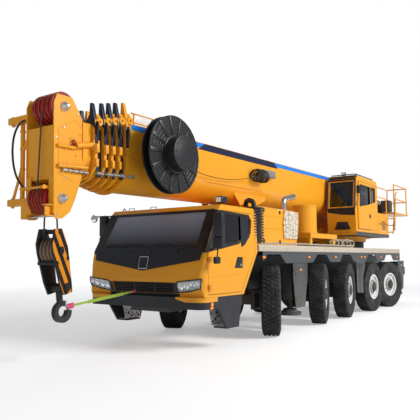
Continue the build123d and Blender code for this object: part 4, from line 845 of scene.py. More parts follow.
ARMS = (
    ("left", (4.76, 1.258, 1.64), (4.81, 1.47, 1.71)),
    ("left", (4.405, 1.23, 2.23), (4.81, 1.47, 2.185)),
    ("right", (4.69, -1.25, 1.8), (4.53, -1.4, 1.815)),
    ("right", (4.3, -1.228, 2.288), (4.53, -1.4, 2.29)),
)
for name in ("left", "right"):
    steps = []
    for owner, start, end in ARMS:
        if owner == name:
            steps += [(bar, start, end, 0.0135, 14), (ball, start, 0.026)]
    if name == "left":
        steps.append((bar, (4.82, 1.452, 1.69), (4.865, 1.452, 1.47), 0.011, 10))
        steps.append((block, (4.79, 1.415, 1.418), (4.925, 1.49, 1.532), 0.026, 4))
    build(f"mirror_arms_{name}", trim_black, *steps, body=f"cab_door_{name}")
ROUND_MIRROR = ((-0.03, 0.0), (-0.026, 0.058), (-0.008, 0.0745), (0.02, 0.0745), (0.024, 0.066), (0.024, 0.0))
build("round_mirror_shell", chrome, (spun, ROUND_MIRROR, 32, (4.808, -1.39, 2.265), (1, 0, 0), False))

steps = [(bar, (4.12, 1.06, 2.405), (4.12, 1.06, 2.475), 0.01)]
steps.append((block, (4.02, 0.99, 2.462), (4.22, 1.13, 2.59), 0.03, 3))
steps.append((bars, 0.009, 8, (4.34, -1.12, 2.41), (4.34, -1.06, 2.475), (4.34, -1.0, 2.41)))
for y in (-0.85, -0.3):
    for across in (y - 0.07, y + 0.07):
        steps.append((bar, (4.36, across, 2.4), (4.36, across, 2.46), 0.006, 8))
    steps.append((bar, (4.36, y - 0.07, 2.46), (4.36, y + 0.07, 2.46), 0.006, 8))
build("roof_lamps_and_hoops", trim_black, *steps)
lamp_face = lens("lamp face", (0.85, 0.86, 0.84), 0.1)
build("roof_lamp_faces", lamp_face, (block, (4.218, 1.01, 2.482), (4.225, 1.11, 2.568), 0.003))
markers = [((4.25, y - 0.05, 2.412), (4.31, y + 0.05, 2.432)) for y in (-0.95, 0.95)]
build("roof_markers", amber_lens, (boxes, 0.006, 2, *markers))


# Engine cover and what stands on the deck: a yellow sheet-metal hood with louvres on the
# right and latches, a stainless exhaust behind a punched heat shield, an air duct and a tank.
dress(crane_yellow, "engine_housing")
ENGINE_SIDE = 1.215
heights = [1.9 + row * 0.052 for row in range(9)]
# The louvres' slits on the hood's right side are thin black bars: painted shade.
louvre_slit_shade = [((2.28, -ENGINE_SIDE - 0.012, z), (2.84, -ENGINE_SIDE + 0.004, z + 0.026)) for z in heights]
latches = []
for side, _ in SIDES:
    for x in (2.24, 2.9):
        for z in (1.83, 2.42):
            low, high = (x - 0.02, ENGINE_SIDE - 0.004, z - 0.035), (x + 0.02, ENGINE_SIDE + 0.018, z + 0.035)
            latches.append((side_block, side, low, high, 0.006))
build("hood_louvres_and_latches", trim_black, (boxes, 0.004, 1, *louvre_slit_shade), *latches)
panels = []
for y in (0.75, -0.75):
    for x, w, d in ((2.2, 0.36, 0.25), (2.72, 0.2, 0.3)):
        panels.append(((x - w, y - d, 2.495), (x + w, y + d, 2.516)))
ridges = [(bar, (2.13, ENGINE_SIDE, z), (2.95, ENGINE_SIDE, z), 0.01, 10) for z in (2.33, 2.08)]
build("hood_raised_panels", crane_yellow, (boxes, 0.01, 2, *panels), *ridges, slot="crane_yellow")

SHIELD = ((1.49, 1.9), (2.08, 1.9), (2.12, 2.19), (2.06, 2.47), (1.43, 2.47), (1.43, 2.2))
# The heat shield's thin dark lines are painted shade in the sheet's punched pattern.
shield_cream = pierced("heat shield cream", (0.72, 0.63, 0.48), (0.1, 0.085, 0.06), 10, 0.025, 0.055)
corners = [(x, ENGINE_SIDE + 0.021, z) for x, z in SHIELD]
build("heat_shield", shield_cream, (slab, corners, (0, 1, 0), 0.01, 0.004), slot="deck_grey")

stainless, tree, shader = bare_material("stainless tube", {"Metallic": 1.0, "Roughness": 0.28})
tarnish = node(tree, "TexNoise", {"Vector": node(tree, "TexCoord"), "Scale": 9, "Detail": 5})
feed(shader, {"Base Color": tones(tree, tarnish, (0.38, 0.34, 0.29), (0.74, 0.73, 0.7))})
EXHAUST = [(x, 1.1, z) for x, z in ((1.83, 2.44), (1.83, 2.66), (1.8, 2.71), (1.74, 2.745), (1.352, 2.832))]
bends = [(ball, bend, 0.0605, 24, 14) for bend in EXHAUST[1:-1]]
clamps = [(bar, (1.83, 1.1, z - 0.012), (1.83, 1.1, z + 0.012), 0.068, 28) for z in (2.52, 2.6)]
build("exhaust_sleeve", stainless, (bars, 0.0605, 28, *EXHAUST), *bends, *clamps, slot="bare_steel")
mouth = Vector((1.356, 1.1, 2.831))
outlet = (bar, mouth, mouth + Vector((-0.975, 0, 0.219)) * 0.006, 0.052, 24)
build("exhaust_mouth", running_gear_paint, outlet)

heights = [1.81 + row * 0.052 for row in range(13)]
folds = [((2.96, 1.19, z), (3.33, 1.262, z + 0.034)) for z in heights]
duct = (block, (3.036, 0.696, 1.77), (3.184, 1.219, 2.484), 0.02, 3)
build("air_duct_bellows", trim_black, duct, (boxes, 0.014, 2, *folds))
points = [(3.11, 1.13, 2.47), (3.11, 1.13, 2.56), (3.1, 1.02, 2.62), (3.02, 0.9, 2.6)]
pipe("intake_hose", [*points, (2.93, 0.84, 2.52), (2.92, 0.83, 2.46)], 0.048, hose_rubber)
TANK = Vector((0.47, 0.95, 0))
TANK_PROFILE = (
    (2.069, 0), (2.069, 0.286), (2.095, 0.286), (2.099, 0.271), (2.67, 0.271),
    (2.674, 0.282), (2.706, 0.282), (2.714, 0.258), (2.716, 0),
)
steps = [(spun, TANK_PROFILE, 48, TANK, (0, 0, 1), False)]
for x, y in around(8, 0.235):
    bolt = TANK + Vector((x, y, 2.71))
    steps.append((bar, bolt, bolt + Vector((0, 0, 0.016)), 0.013, 6))
build("upright_tank_shell", crane_yellow, *steps, slot="crane_yellow")

# Behind the engine: valve blocks in black on the deck, each with a round cap. One stands
# beside the tank and two stand by the loops of hose.
UNITS = (
    # x, y, width along, width across, top
    (1.18, 0.55, 0.1, 0.22, DECK_TOP + 0.42),
    (-1.05, 0.86, 0.16, 0.16, DECK_TOP + 0.2),
    (-1.75, 0.8, 0.2, 0.14, DECK_TOP + 0.16),
)
steps = []
for x, y, along, across, top in UNITS:
    steps.append((block, (x - along, y - across, DECK_TOP), (x + along, y + across, top), 0.02, 3))
    steps.append((bar, (x, y, top), (x, y, top + 0.05), 0.035, 20))
build("deck_valve_units", running_gear_paint, *steps)


# Turntable: welded plate frame that turns on the slewing ring, with the boom's foot pin
# between two cheeks, the hoist winch behind it and walkways on the left.
dress(crane_yellow, "turntable", "luff_barrel", "operator_cab", "operator_door")
ring_steel = painted("ring steel", (0.2, 0.19, 0.17), 0.6, 3.0, 0.45, metallic=0.7)
bolts = [(bar, (-3.43 + x, y, 2.125), (-3.43 + x, y, 2.158), 0.017, 6) for x, y in around(48, 0.955)]
build("ring_bolts", ring_steel, *bolts, body="turntable", slot="bare_steel")
sills = [(side_block, side, (-4.8, 0.575, 2.098), (-1.9, 1.324, 2.195), 0.012) for side, _ in SIDES]
build("sill_slabs", skirt_paint, *sills, body="turntable", slot="chassis_dark")


def face_bolts(shape, centre, reach, out, count, radius, length):
    """A ring of hexagon bolts on a round face square to Y."""
    for x, z in around(count, reach):
        bar(shape, centre + Vector((x, out, z)), centre + Vector((x, out + length, z)), radius, 6)


FOOT = Vector((-4.93, 0, 3.17))
pin_steel = painted("pin steel", (0.35, 0.34, 0.32), 0.3, 4.0, 0.35, metallic=0.85)
steps = []
for side, _ in SIDES:
    steps.append((cross_bar, FOOT, side * 0.515, side * 0.548, 0.105, 32))
    steps.append((face_bolts, FOOT, 0.08, side * 0.548, 6, 0.011, side * 0.012))
build("foot_pin_covers", pin_steel, *steps, body="turntable", slot="bare_steel")

rope_steel, tree, shader = bare_material("wire rope", {"Metallic": 0.8, "Roughness": 0.4})
lay = node(tree, "TexWave", {"Vector": node(tree, "TexCoord"), "Scale": 45}, bands_direction="DIAGONAL")
bumped(shader, lay, 0.003)
# The rope's colour follows the lay and is darker in the grooves between its strands: painted shade.
feed(shader, {"Base Color": tones(tree, lay, (0.03, 0.03, 0.03), (0.22, 0.21, 0.2))})
WINCH = Vector((-6.15, 0, 2.7))
DRUM = ((-0.322, 0.233), (-0.322, 0.28), (0.322, 0.28), (0.322, 0.233))
turns = [(hoop, -0.318 + 0.0265 * (row + 0.5), 0.285, 0.012, 8, 44, WINCH) for row in range(24)]
build("winch_rope", rope_steel, *turns, (spun, DRUM, 40, WINCH), body="turntable", slot="bare_steel")
steps = []
for side, _ in SIDES:
    steps.append((cross_bar, WINCH, side * 0.52, side * 0.57, 0.2, 32))
    steps.append((cross_bar, WINCH, side * 0.56, side * 0.62, 0.12, 28))
    steps.append((face_bolts, WINCH, 0.17, side * 0.57, 10, 0.012, side * 0.014))
valves = (
    ((-5.43, 0.58, 2.45), (-4.87, 0.98, 2.88)),
    ((-5.46, 0.98, 2.95), (-5.14, 1.26, 3.3)),
    ((-6.15, 0.68, 2.945), (-5.75, 1.04, 3.22)),
)
build("winch_drives_and_valves", running_gear_paint, *steps, (boxes, 0.03, 3, *valves), body="turntable")
for index, (x, lift) in enumerate(((-5.0, 0.2), (-5.1, 0.26), (-5.22, 0.32), (-5.4, 0.18)), 1):
    points = [(x, 0.7, 2.85), (x - 0.05, 0.74, 2.98 + lift), (x - 0.22, 0.8, 3.04 + lift)]
    points += [(x - 0.42, 0.86, 2.98 + lift * 0.6), (x - 0.55, 0.9, 2.94)]
    pipe(f"valve_hose_{index}", points, 0.02, hose_rubber, "turntable")

doors = ((-4.69, 1.312, 2.26), (-3.85, 1.33, 2.72)), ((-4.78, 0.64, 2.795), (-3.8, 1.28, 2.815))
build("side_body_doors", crane_yellow, (boxes, 0.008, 2, *doors), body="turntable", slot="crane_yellow")
latches = [((x - 0.03, 1.325, 2.46), (x + 0.03, 1.345, 2.52)) for x in (-4.58, -3.96)]
# The vent's slits are thin black bars: painted shade.
vent_slit_shade = [((-4.44, 1.327, 2.32 + row * 0.04), (-4.08, 1.337, 2.34 + row * 0.04)) for row in range(7)]
steps = [(boxes, 0.006, 2, *latches), (boxes, 0.003, 1, *vent_slit_shade)]
build("side_body_latches", trim_black, *steps, body="turntable")
rear_rail = (bars, 0.018, 12, (-5.42, 1.33, 2.35), (-5.62, 1.33, 3.55), (-5.9, 1.3, 3.62))
side_rail = (bars, 0.018, 12, (-4.84, 1.25, 2.8), (-4.84, 1.25, 3.3), (-3.9, 1.25, 3.3))
build("grab_rails", crane_yellow, rear_rail, side_rail, body="turntable", slot="crane_yellow")

# Operator's cab: a steel cell glazed on every side, with a sliding door. Its lower front
# is a yellow panel with a black recess, and a seat faces the boom's load.
SCREEN = ((-1.868, 0.575, 2.83), (-1.868, 1.295, 2.83), (-1.978, 1.295, 3.555), (-1.978, 0.575, 3.555))
build("operator_screen", cab_glass, (slab, SCREEN, (-0.989, 0, -0.15), 0.006), body="turntable")
RIM = ((0.552, 2.8), (1.318, 2.8), (1.318, 3.59), (0.552, 3.59), (0.552, 2.8))


def screen_x(z):
    """How far forward the operator's screen is at a height."""
    return -1.85 - 0.11 * (z - 2.8) / 0.77


rim = (bars, 0.022, 10, *((screen_x(z) + 0.004, y, z) for y, z in RIM))
wiper = (bar, (screen_x(2.83) + 0.02, 0.93, 2.83), (screen_x(3.35) + 0.02, 1.18, 3.35), 0.009, 8)
build("operator_screen_frame", trim_black, rim, wiper, body="turntable")
RECESS = ((-1.897, 0.73, 2.25), (-1.897, 1.18, 2.25), (-1.88, 1.1, 2.455), (-1.88, 0.82, 2.455))
build("operator_front_recess", trim_black, (slab, RECESS, (1, 0, 0), 0.014, 0.004), body="turntable")
LOW_SCREEN = ((-1.857, 0.565, 2.72), (-1.862, 0.93, 2.65), (-1.864, 1.315, 2.62), (-1.847, 1.315, 2.83))
low_screen = (slab, (*LOW_SCREEN, (-1.847, 0.565, 2.83)), (1, 0, 0), 0.006)
build("operator_low_screen", trim_black, low_screen, body="turntable")
build(
    "operator_roof_skin_and_rail",
    trim_black,
    (block, (-3.6, 0.545, 3.692), (-1.985, 1.325, 3.706), 0.006),
    (bar, (-1.975, 0.56, 3.64), (-1.975, 1.315, 3.64), 0.014, 10),
    (bars, 0.014, 10, (-2.08, 0.6, 3.745), (-2.08, 1.28, 3.745), (-3.45, 1.28, 3.745)),
    (bar, (-2.08, 1.28, 3.7), (-2.08, 1.28, 3.745), 0.014, 10),
    (bar, (-3.45, 1.28, 3.7), (-3.45, 1.28, 3.745), 0.014, 10),
    body="turntable",
)
LARGE_PANE = ((-2.93, 2.99), (-2.11, 2.88), (-2.17, 3.46), (-2.93, 3.46))
SMALL_PANE = ((-3.54, 3.09), (-3.11, 3.01), (-3.11, 3.5), (-3.54, 3.5))
for pane, y, seal_y, name, body in (
    (LARGE_PANE, 1.344, 1.368, "operator_door_glass", "operator_door"),
    (SMALL_PANE, 1.3, 1.306, "operator_quarter_glass", "turntable"),
    (LARGE_PANE, 0.56, 0.537, "operator_right_glass", "turntable"),
):
    build(name, cab_glass, (slab, [(x, y, z) for x, z in pane], (0, 1, 0), 0.006), body=body)
    seal = [(x, seal_y, z) for x, z in (*pane, pane[0])]
    build(f"{name}_seal", trim_black, (bars, 0.015, 8, *seal), body=body)
REAR_PANE = ((-3.58, 0.66, 2.95), (-3.58, 1.21, 2.95), (-3.58, 1.21, 3.45), (-3.58, 0.66, 3.45))
build("operator_rear_glass", cab_glass, (slab, REAR_PANE, (-1, 0, 0), 0.006), body="turntable")
grip = (block, (-2.99, 1.352, 2.6), (-2.86, 1.374, 2.7), 0.01, 3)
build("operator_door_handle", trim_black, grip, body="operator_door")
rails = [((-3.66, 1.329, z), (-2.02, 1.334, z + 0.014)) for z in (2.262, 3.556)]
build("operator_door_rails", pin_steel, (boxes, 0.002, 1, *rails), body="turntable", slot="bare_steel")
seat_at("operator_seat", -2.8, 0.93, 2.62, "turntable")
steps = [(block, (-3.02, 0.76, 2.25), (-2.58, 1.1, 2.615), 0.03, 3)]
for y in (0.64, 1.14):
    steps.append((block, (-2.92, y, 2.8), (-2.42, y + 0.1, 2.9), 0.03, 3))
    steps.append((bar, (-2.5, y + 0.05, 2.88), (-2.46, y + 0.05, 3.04), 0.012, 10))
steps.append((block, (-2.16, 0.66, 2.6), (-2.02, 1.2, 2.84), 0.03, 3))
build("operator_consoles", cab_trim, *steps, body="turntable")
build(
    "operator_lamps_and_mirror",
    trim_black,
    (bar, (-2.13, 0.93, 3.695), (-2.13, 0.93, 3.745), 0.01, 8),
    (block, (-2.17, 0.875, 3.735), (-2.09, 0.985, 3.83), 0.016, 3),
    (block, (-2.96, 0.7, 3.698), (-2.4, 1.16, 3.722), 0.01),
    (bars, 0.01, 8, (-1.86, 1.356, 2.86), (-1.955, 1.385, 3.2), (-1.97, 1.385, 3.44)),
    (block, (-1.99, 1.345, 3.2), (-1.95, 1.425, 3.42), 0.012, 3),
    body="turntable",
)
face = (block, (-2.092, 0.885, 3.745), (-2.084, 0.975, 3.82), 0.003)
build("operator_lamp_faces", lamp_face, face, body="turntable")


# Luffing cylinder: painted barrel with a bolted gland, hard-chromed rod and a pair of
# pipes along the barrel's top.
dress(hazed("hard chrome", (0.72, 0.73, 0.75), 30, 0.06, 0.16), "luff_rod")
BARREL_FOOT = Vector((-2.25, 0, 2.21))
slide_axis = Vector(joints["luff_rod_slide"]["axis"]).normalized()
gland = BARREL_FOOT + slide_axis * 3.841
GLAND = ((-0.1, 0.171), (-0.1, 0.192), (0.006, 0.192), (0.01, 0.18), (0.01, 0.129), (-0.01, 0.129))
steps = [(spun, GLAND, 40, gland, slide_axis)]
for index in range(12):
    turn = Matrix.Rotation(math.tau * index / 12, 3, slide_axis)
    spot = gland + turn @ slide_axis.orthogonal().normalized() * 0.16
    steps.append((bar, spot, spot + slide_axis * 0.02, 0.011, 6))
build("cylinder_gland", pin_steel, *steps, body="luff_barrel", slot="bare_steel")
on_barrel = BARREL_FOOT + Vector((-slide_axis.z, 0, slide_axis.x)) * 0.15
steps = []
for y in (0.1, -0.1):
    start = on_barrel + slide_axis * 0.42 + ACROSS * y
    steps.append((bar, start, start + slide_axis * 3.25, 0.016, 12))
for along in (0.6, 1.4, 2.2, 3.0):
    spot = on_barrel + slide_axis * along
    steps.append((block, spot - Vector((0.03, 0.13, 0.02)), spot + Vector((0.03, 0.13, 0.03)), 0.006))
build("cylinder_pipes", running_gear_paint, *steps, body="luff_barrel")

# Boom: round-bottomed tube of thin high-strength plate in yellow. The blue stripe along
# the top edge and the dark panel are sprayed on, and the lettering is left bare.
dress(crane_yellow, "boom_base", *(f"tele_{number}" for number in range(1, 6)))
DIP = math.radians(0.8)
ALONG = Vector((math.cos(DIP), 0, -math.sin(DIP)))
UP = Vector((math.sin(DIP), 0, math.cos(DIP)))


def boom_at(u, y, v):
    """A place u along the boom from its foot pin, y to its left and v up."""
    return FOOT + ALONG * u + UP * v + Vector((0, y, 0))


def boom_block(shape, u, y, v, bevel=0.0, segments=2):
    """A box in the boom's own directions, from pairs of limits in any order."""
    verts = bmesh.ops.create_cube(shape, size=1)["verts"]
    for vert in verts:
        pairs = zip(vert.co, (sorted(u), sorted(y), sorted(v)))
        vert.co = boom_at(*(limits[0] if place < 0 else limits[1] for place, limits in pairs))
    ease(shape, verts, bevel, segments)


def boom_bar(shape, start, end, radius, segments=12):
    """A round bar between two places on the boom."""
    bar(shape, boom_at(*start), boom_at(*end), radius, segments)


def boom_pin(shape, u, v, near, far, radius, segments=12):
    """A round bar across the boom."""
    boom_bar(shape, (u, near, v), (u, far, v), radius, segments)


def boom_slab(shape, corners, y, thickness, bevel=0.0):
    """A plate against the boom's side; it thickens away from the middle."""
    side = Vector((0, math.copysign(1, y), 0))
    slab(shape, [boom_at(u, y, v) for u, v in corners], side, thickness, bevel)


BASE_HALF = 0.45
BASE_TOP = 0.62
stripe_blue = painted("stripe blue", (0.001, 0.21, 0.74), 0.2, 1.0, 0.3, 0.3)
panel_navy = painted("panel navy", (0.004, 0.007, 0.045), 0.05, 1.0, 0.3, 0.3)
PANEL = ((5.73, 0.485), (8.91, 0.485), (8.69, 0.612), (5.93, 0.612))
GUSSET = ((7.71, -0.24), (7.14, -0.3), (7.44, -0.49))
steps = []
for u in (0.42, 3.2, 6.2, 9.2):
    steps.append((boom_block, (u - 0.03, u + 0.03), (-0.452, 0.452), (0.618, 0.628), 0.003))
for side, name in SIDES:
    stripe = (boom_block, (0.42, 10.7), (side * 0.449, side * 0.453), (0.52, 0.608))
    build(f"boom_stripe_{name}", stripe_blue, stripe, body="boom_base")
    build(f"boom_panel_{name}", panel_navy, (boom_slab, PANEL, side * 0.449, 0.005), body="boom_base")
    steps.append((boom_slab, GUSSET, side * 0.449, 0.014, 0.003))
    for u0, u1, v in ((10.9, 10.0, 0.05), (8.7, 6.5, -0.1)):
        steps.append((boom_bar, (u0, side * 0.449, v), (u1, side * 0.449, v), 0.006, 6))
    for u in (1.2, 2.9, 4.6, 9.3, 9.9, 10.4):
        steps.append((boom_pin, u, 0.1, side * 0.449, side * 0.464, 0.016))
for u in (10.02, 10.48):
    steps.append((boom_bar, (u, 0.3, 0.615), (u, 0.3, 0.85), 0.014, 10))
for v in (0.7, 0.845):
    steps.append((boom_bar, (9.96, 0.3, v), (10.54, 0.3, v), 0.014, 10))
build("boom_seams_and_gussets", crane_yellow, *steps, body="boom_base", slot="crane_yellow")
top_plate = (boom_block, (10.06, 10.44), (0.306, 0.312), (0.72, 0.83), 0.002)
build("boom_top_plate", lamp_back, top_plate, body="boom_base", slot="deck_grey")

side_grey = painted("side box grey", (0.22, 0.22, 0.21), 0.2, 1.0, 0.4)
box = (boom_block, (6.12, 6.67), (0.452, 0.6), (0.2, 0.36), 0.02, 3)
lid = (boom_block, (6.2, 6.6), (0.596, 0.608), (0.225, 0.335), 0.006, 2)
build("boom_side_box", side_grey, box, lid, body="boom_base", slot="deck_grey")
coil = []
for index in range(7):
    tilt = Matrix.Rotation(math.radians(6 * (index - 3)), 3, "Z") @ ALONG
    centre = boom_at(6.6 + 0.07 * index, 0.585, 0.19)
    coil.append((hoop, 0, 0.115 + 0.008 * (index % 3), 0.016, 8, 28, centre, tilt))
build("boom_side_coil", hose_rubber, *coil, body="boom_base")


def boom_pipe(name, places, radius, body):
    """A hose past places on the boom."""
    pipe(name, [tuple(boom_at(*place)) for place in places], radius, hose_rubber, body)


wire = ((7.02, 0.62, 0.16), (7.6, 0.53, 0.02), (8.4, 0.52, -0.02), (9.2, 0.56, 0.02), (9.9, 0.74, 0.12))
boom_pipe("reel_wire", wire, 0.006, "boom_base")

# Collars: each section ends in a stiff ring with a horn at both upper corners. The moving
# ones carry dark caps, pulleys in brackets and the couplings of the tool circuits.
horn_navy = painted("horn navy", (0.01, 0.015, 0.036), 0.15, 1.0, 0.35)
coupling_steel = painted("coupling steel", (0.62, 0.61, 0.58), 0.1, 1.0, 0.28, metallic=0.9)
COLLAR_ENDS = (10.86, 11.01, 11.13, 11.25, 11.41)
SECTION_STEP = 0.026
DISC = (
    (-0.02, 0.018), (-0.022, 0.06), (-0.01, 0.066), (0.0, 0.054), (0.01, 0.066), (0.022, 0.06), (0.02, 0.018),
)
for number, front in enumerate(COLLAR_ENDS):
    half = BASE_HALF - SECTION_STEP * number
    top = BASE_TOP - SECTION_STEP * number
    body = f"tele_{number}" if number else "boom_base"
    y = half + 0.049
    horn = ((half - 0.19, top + 0.04), (half - 0.13, top + 0.065), (half - 0.078, top + 0.13))
    horn += ((half - 0.066, top + 0.306), (half - 0.028, top + 0.306), (y, top - 0.015))
    horn += ((y, top - 0.12), (half - 0.02, top - 0.02))
    horns, strips = [], []
    for side, _ in SIDES:
        corners = [boom_at(front - 0.055, side * across, v) for across, v in horn]
        horns.append((slab, corners, ALONG, 0.06, 0.005))
        limits = (side * (y - 0.012), side * (y + 0.006))
        strips.append((boom_block, (front - 0.052, front + 0.003), limits, (0.2, top - 0.08), 0.003))
    build(f"collar_horns_{number}", horn_navy if number else crane_yellow, *horns, body=body)
    pulleys = [
        (spun, DISC, 28, boom_at(front - 0.086, y - 0.01, top + 0.02)),
        (spun, DISC, 28, boom_at(front - 0.086, y - 0.06, top + 0.08)),
    ]
    if number:
        # Between this collar and the one behind, a dark strip covers the section's side: painted shade in the
        # gap between the collars.
        for side, _ in SIDES:
            along = (COLLAR_ENDS[number - 1] + 0.003, front - 0.053)
            limits = (side * (half - 0.001), side * (half + 0.004))
            strips.append((boom_block, along, limits, (-0.3, top - 0.08)))
        for u, out, v in (((-0.05, 0.012), 0.05, (0.06, 0.19)), ((-0.046, 0.006), 0.034, (-0.15, -0.03))):
            pulleys.append((boom_block, (front + u[0], front + u[1]), (y - 0.01, y + out), v, 0.01, 3))
    build(f"collar_side_strips_{number}", horn_navy, *strips, body=body)
    build(f"collar_pulleys_{number}", crane_yellow, *pulleys, body=body, slot="crane_yellow")
    steps = []
    for v in (0.155, 0.095):
        steps.append((boom_bar, (front + 0.01, y + 0.02, v), (front + 0.026, y + 0.02, v), 0.012, 6))
    for u in (front - 0.11, front - 0.07, front - 0.03):
        steps.append((boom_bar, (u, y + 0.045, -0.25), (u + 0.024, y + 0.045, -0.25), 0.026, 14))
        steps.append((boom_bar, (u + 0.02, y + 0.045, -0.25), (u + 0.042, y + 0.045, -0.25), 0.019, 10))
    steps.append((boom_pin, front - 0.04, -0.25, y - 0.02, y + 0.045, 0.014, 10))
    build(f"collar_couplings_{number}", coupling_steel, *steps, body=body, slot="bare_steel")
    for index, (high, low, out) in enumerate(((0.53, 0.33, 0.04), (0.5, 0.3, 0.022)), 1):
        run = [(front - 0.04, y, high), (front - 0.02, y + out, high - 0.05)]
        run.append((front - 0.014, y + out + 0.012, (high + low) / 2))
        run += [(front - 0.022, y + out, low + 0.04), (front - 0.044, y, low)]
        boom_pipe(f"collar_hose_{number}_{index}", run, 0.017, body)


# Boom head: two side plates with a pack of dark red cast-nylon sheaves at the top and the
# bottom. Keeper bars hold the rope in its groove, and steel cones cover the sheave pins.
values = {"Roughness": 0.35, "Specular IOR Level": 0.3}
sheave_red, tree, shader = bare_material("sheave red", values)
swirl = node(tree, "TexNoise", {"Vector": node(tree, "TexCoord"), "Scale": 12})
feed(shader, {"Base Color": between(tree, swirl, (0.36, 0.005, 0.014, 1), (0.162, 0.00225, 0.0063, 1))})
TOP_SHEAVE = (11.91, 0.655)
LOW_SHEAVE = (11.94, -0.65)
steps = []
for (u, v), first, last, grooves in ((TOP_SHEAVE, -0.13, 0.279, 4), (LOW_SHEAVE, -0.185, 0.185, 5)):
    wide = (last - first) / (2 * grooves + 1)
    profile = [(first - 0.003, 0.047), (first - 0.003, 0.217), (first + 0.006, 0.2185)]
    for index in range(grooves):
        start = first + wide * (2 * index + 1)
        end = start + wide
        profile += [(start - 0.003, 0.2185), (start + 0.006, 0.1985), (start + wide / 2, 0.1965)]
        profile += [(end - 0.006, 0.1985), (end + 0.003, 0.2185)]
    profile += [(last - 0.006, 0.2185), (last + 0.003, 0.217), (last + 0.003, 0.047)]
    steps.append((spun, profile, 56, boom_at(u, 0, v)))
build("head_sheaves", sheave_red, *steps, body="tele_5")
CONE = (
    (0.303, 0.0), (0.303, 0.074), (0.318, 0.072), (0.322, 0.064), (0.385, 0.038), (0.4, 0.022), (0.402, 0.0),
)
steps = []
for side, _ in SIDES:
    for u, v in (TOP_SHEAVE, LOW_SHEAVE):
        cone = [(side * along, radius) for along, radius in CONE]
        steps.append((spun, cone, 36, boom_at(u, 0, v), ACROSS, False))
for u, v in ((12.06, 0.2), (11.92, 0.36), (11.9, -0.36), (12.03, -0.895), (11.665, 0.6)):
    steps.append((boom_pin, u, v, -0.312, 0.312, 0.014, 14))
build("head_pins_and_keepers", coupling_steel, *steps, body="tele_5", slot="bare_steel")
steps = [(boom_pin, 12.178, -0.5, -0.27, 0.2, 0.018, 14)]
for y in (-0.288, 0.188):
    steps.append((boom_pin, 12.178, -0.5, y, y + 0.03, 0.03, 16))
    steps.append((boom_block, (12.085, 12.18), (y + 0.006, y + 0.022), (-0.52, -0.48), 0.004))
steps.append((boom_block, (12.085, 12.19), (0.23, 0.252), (-0.895, -0.74), 0.003))
for v in (-0.748, -0.9):
    steps.append((boom_block, (12.085, 12.2), (0.188, 0.3), (v - 0.007, v + 0.007), 0.003))
SEAM = ((11.48, 0.28), (11.7, 0.5), (12.01, 0.33), (12.01, -0.3), (11.7, -0.42), (11.48, -0.3))
for (u0, v0), (u1, v1) in zip(SEAM, [*SEAM[1:], SEAM[0]]):
    for y in (0.305, -0.305):
        steps.append((boom_bar, (u0, y, v0), (u1, y, v1), 0.006, 6))
for u, v in ((11.8, 0.22), (11.9, 0.05), (11.7, -0.02), (11.86, -0.16), (11.62, 0.3), (11.6, -0.22)):
    steps.append((boom_pin, u, v, 0.304, 0.316, 0.014))
build("head_seams_and_low_keeper", crane_yellow, *steps, body="tele_5", slot="crane_yellow")

# Hoist rope on the head: one fall shows in front of it, from the top sheaves down to the
# lower ones. Beside it, on the left, sit a locking rod, an arm and a row of couplings.
fall = (boom_bar, (12.116, 0.076, TOP_SHEAVE[1]), (12.146, 0.013, LOW_SHEAVE[1]), 0.012)
lead = (boom_bar, (11.6, 0.075, 0.862), (11.905, 0.075, 0.866), 0.012)
build("head_rope", rope_steel, fall, lead, body="tele_5", slot="bare_steel")
build(
    "head_left_arms",
    crane_yellow,
    (boom_bar, (12.05, 0.33, 0.085), (11.73, 0.33, 0.085), 0.024, 16),
    (boom_bar, (11.73, 0.345, 0.12), (11.42, 0.345, 0.18), 0.042, 16),
    (boom_block, (11.31, 11.43), (0.305, 0.39), (0.11, 0.255), 0.012),
    (boom_bar, (12.04, 0.33, -0.2), (11.53, 0.36, -0.18), 0.026, 14),
    body="tele_5",
    slot="crane_yellow",
)
steps = []
for index in range(5):
    u = 11.5 + 0.095 * index
    steps.append((boom_bar, (u, 0.335, -0.25), (u + 0.06, 0.335, -0.25), 0.02))
    steps.append((boom_bar, (u + 0.06, 0.335, -0.25), (u + 0.085, 0.335, -0.25), 0.028, 6))
build("head_left_couplings", coupling_steel, *steps, body="tele_5", slot="bare_steel")
links = ((11.76, 0.165, 0.03), (11.78, 0.1, 0.022))
steps = [(hoop, 0.33, radius, 0.01, 8, 24, boom_at(u, 0, v)) for u, v, radius in links]
build("head_shackle", sheave_red, *steps, body="tele_5")

# Jib bracket on the head's right: two forked arms with pins, a tube between them that
# carries four sleeves, and a hose.
steps = []
for v in (0.6, -0.65):
    for low in (v - 0.052, v + 0.04):
        steps.append((boom_block, (11.862, 11.978), (-0.9, -0.31), (low, low + 0.012), 0.003))
    steps.append((boom_bar, (11.92, -0.855, v - 0.075), (11.92, -0.855, v + 0.075), 0.026, 16))
SLEEVE = ((-0.012, 0.034), (-0.012, 0.044), (0.012, 0.044), (0.012, 0.034))
steps += [(spun, SLEEVE, 20, boom_at(11.92, -0.62, v), UP) for v in (-0.45, -0.15, 0.15, 0.42)]
build("jib_bracket_forks", crane_yellow, *steps, body="tele_5", slot="crane_yellow")
run = ((11.93, -0.36, 0.5), (11.98, -0.5, 0.62), (12.02, -0.72, 0.4))
run += ((12.02, -0.74, -0.05), (12.0, -0.58, -0.42), (11.95, -0.4, -0.5))
boom_pipe("jib_bracket_hose", run, 0.016, "tele_5")

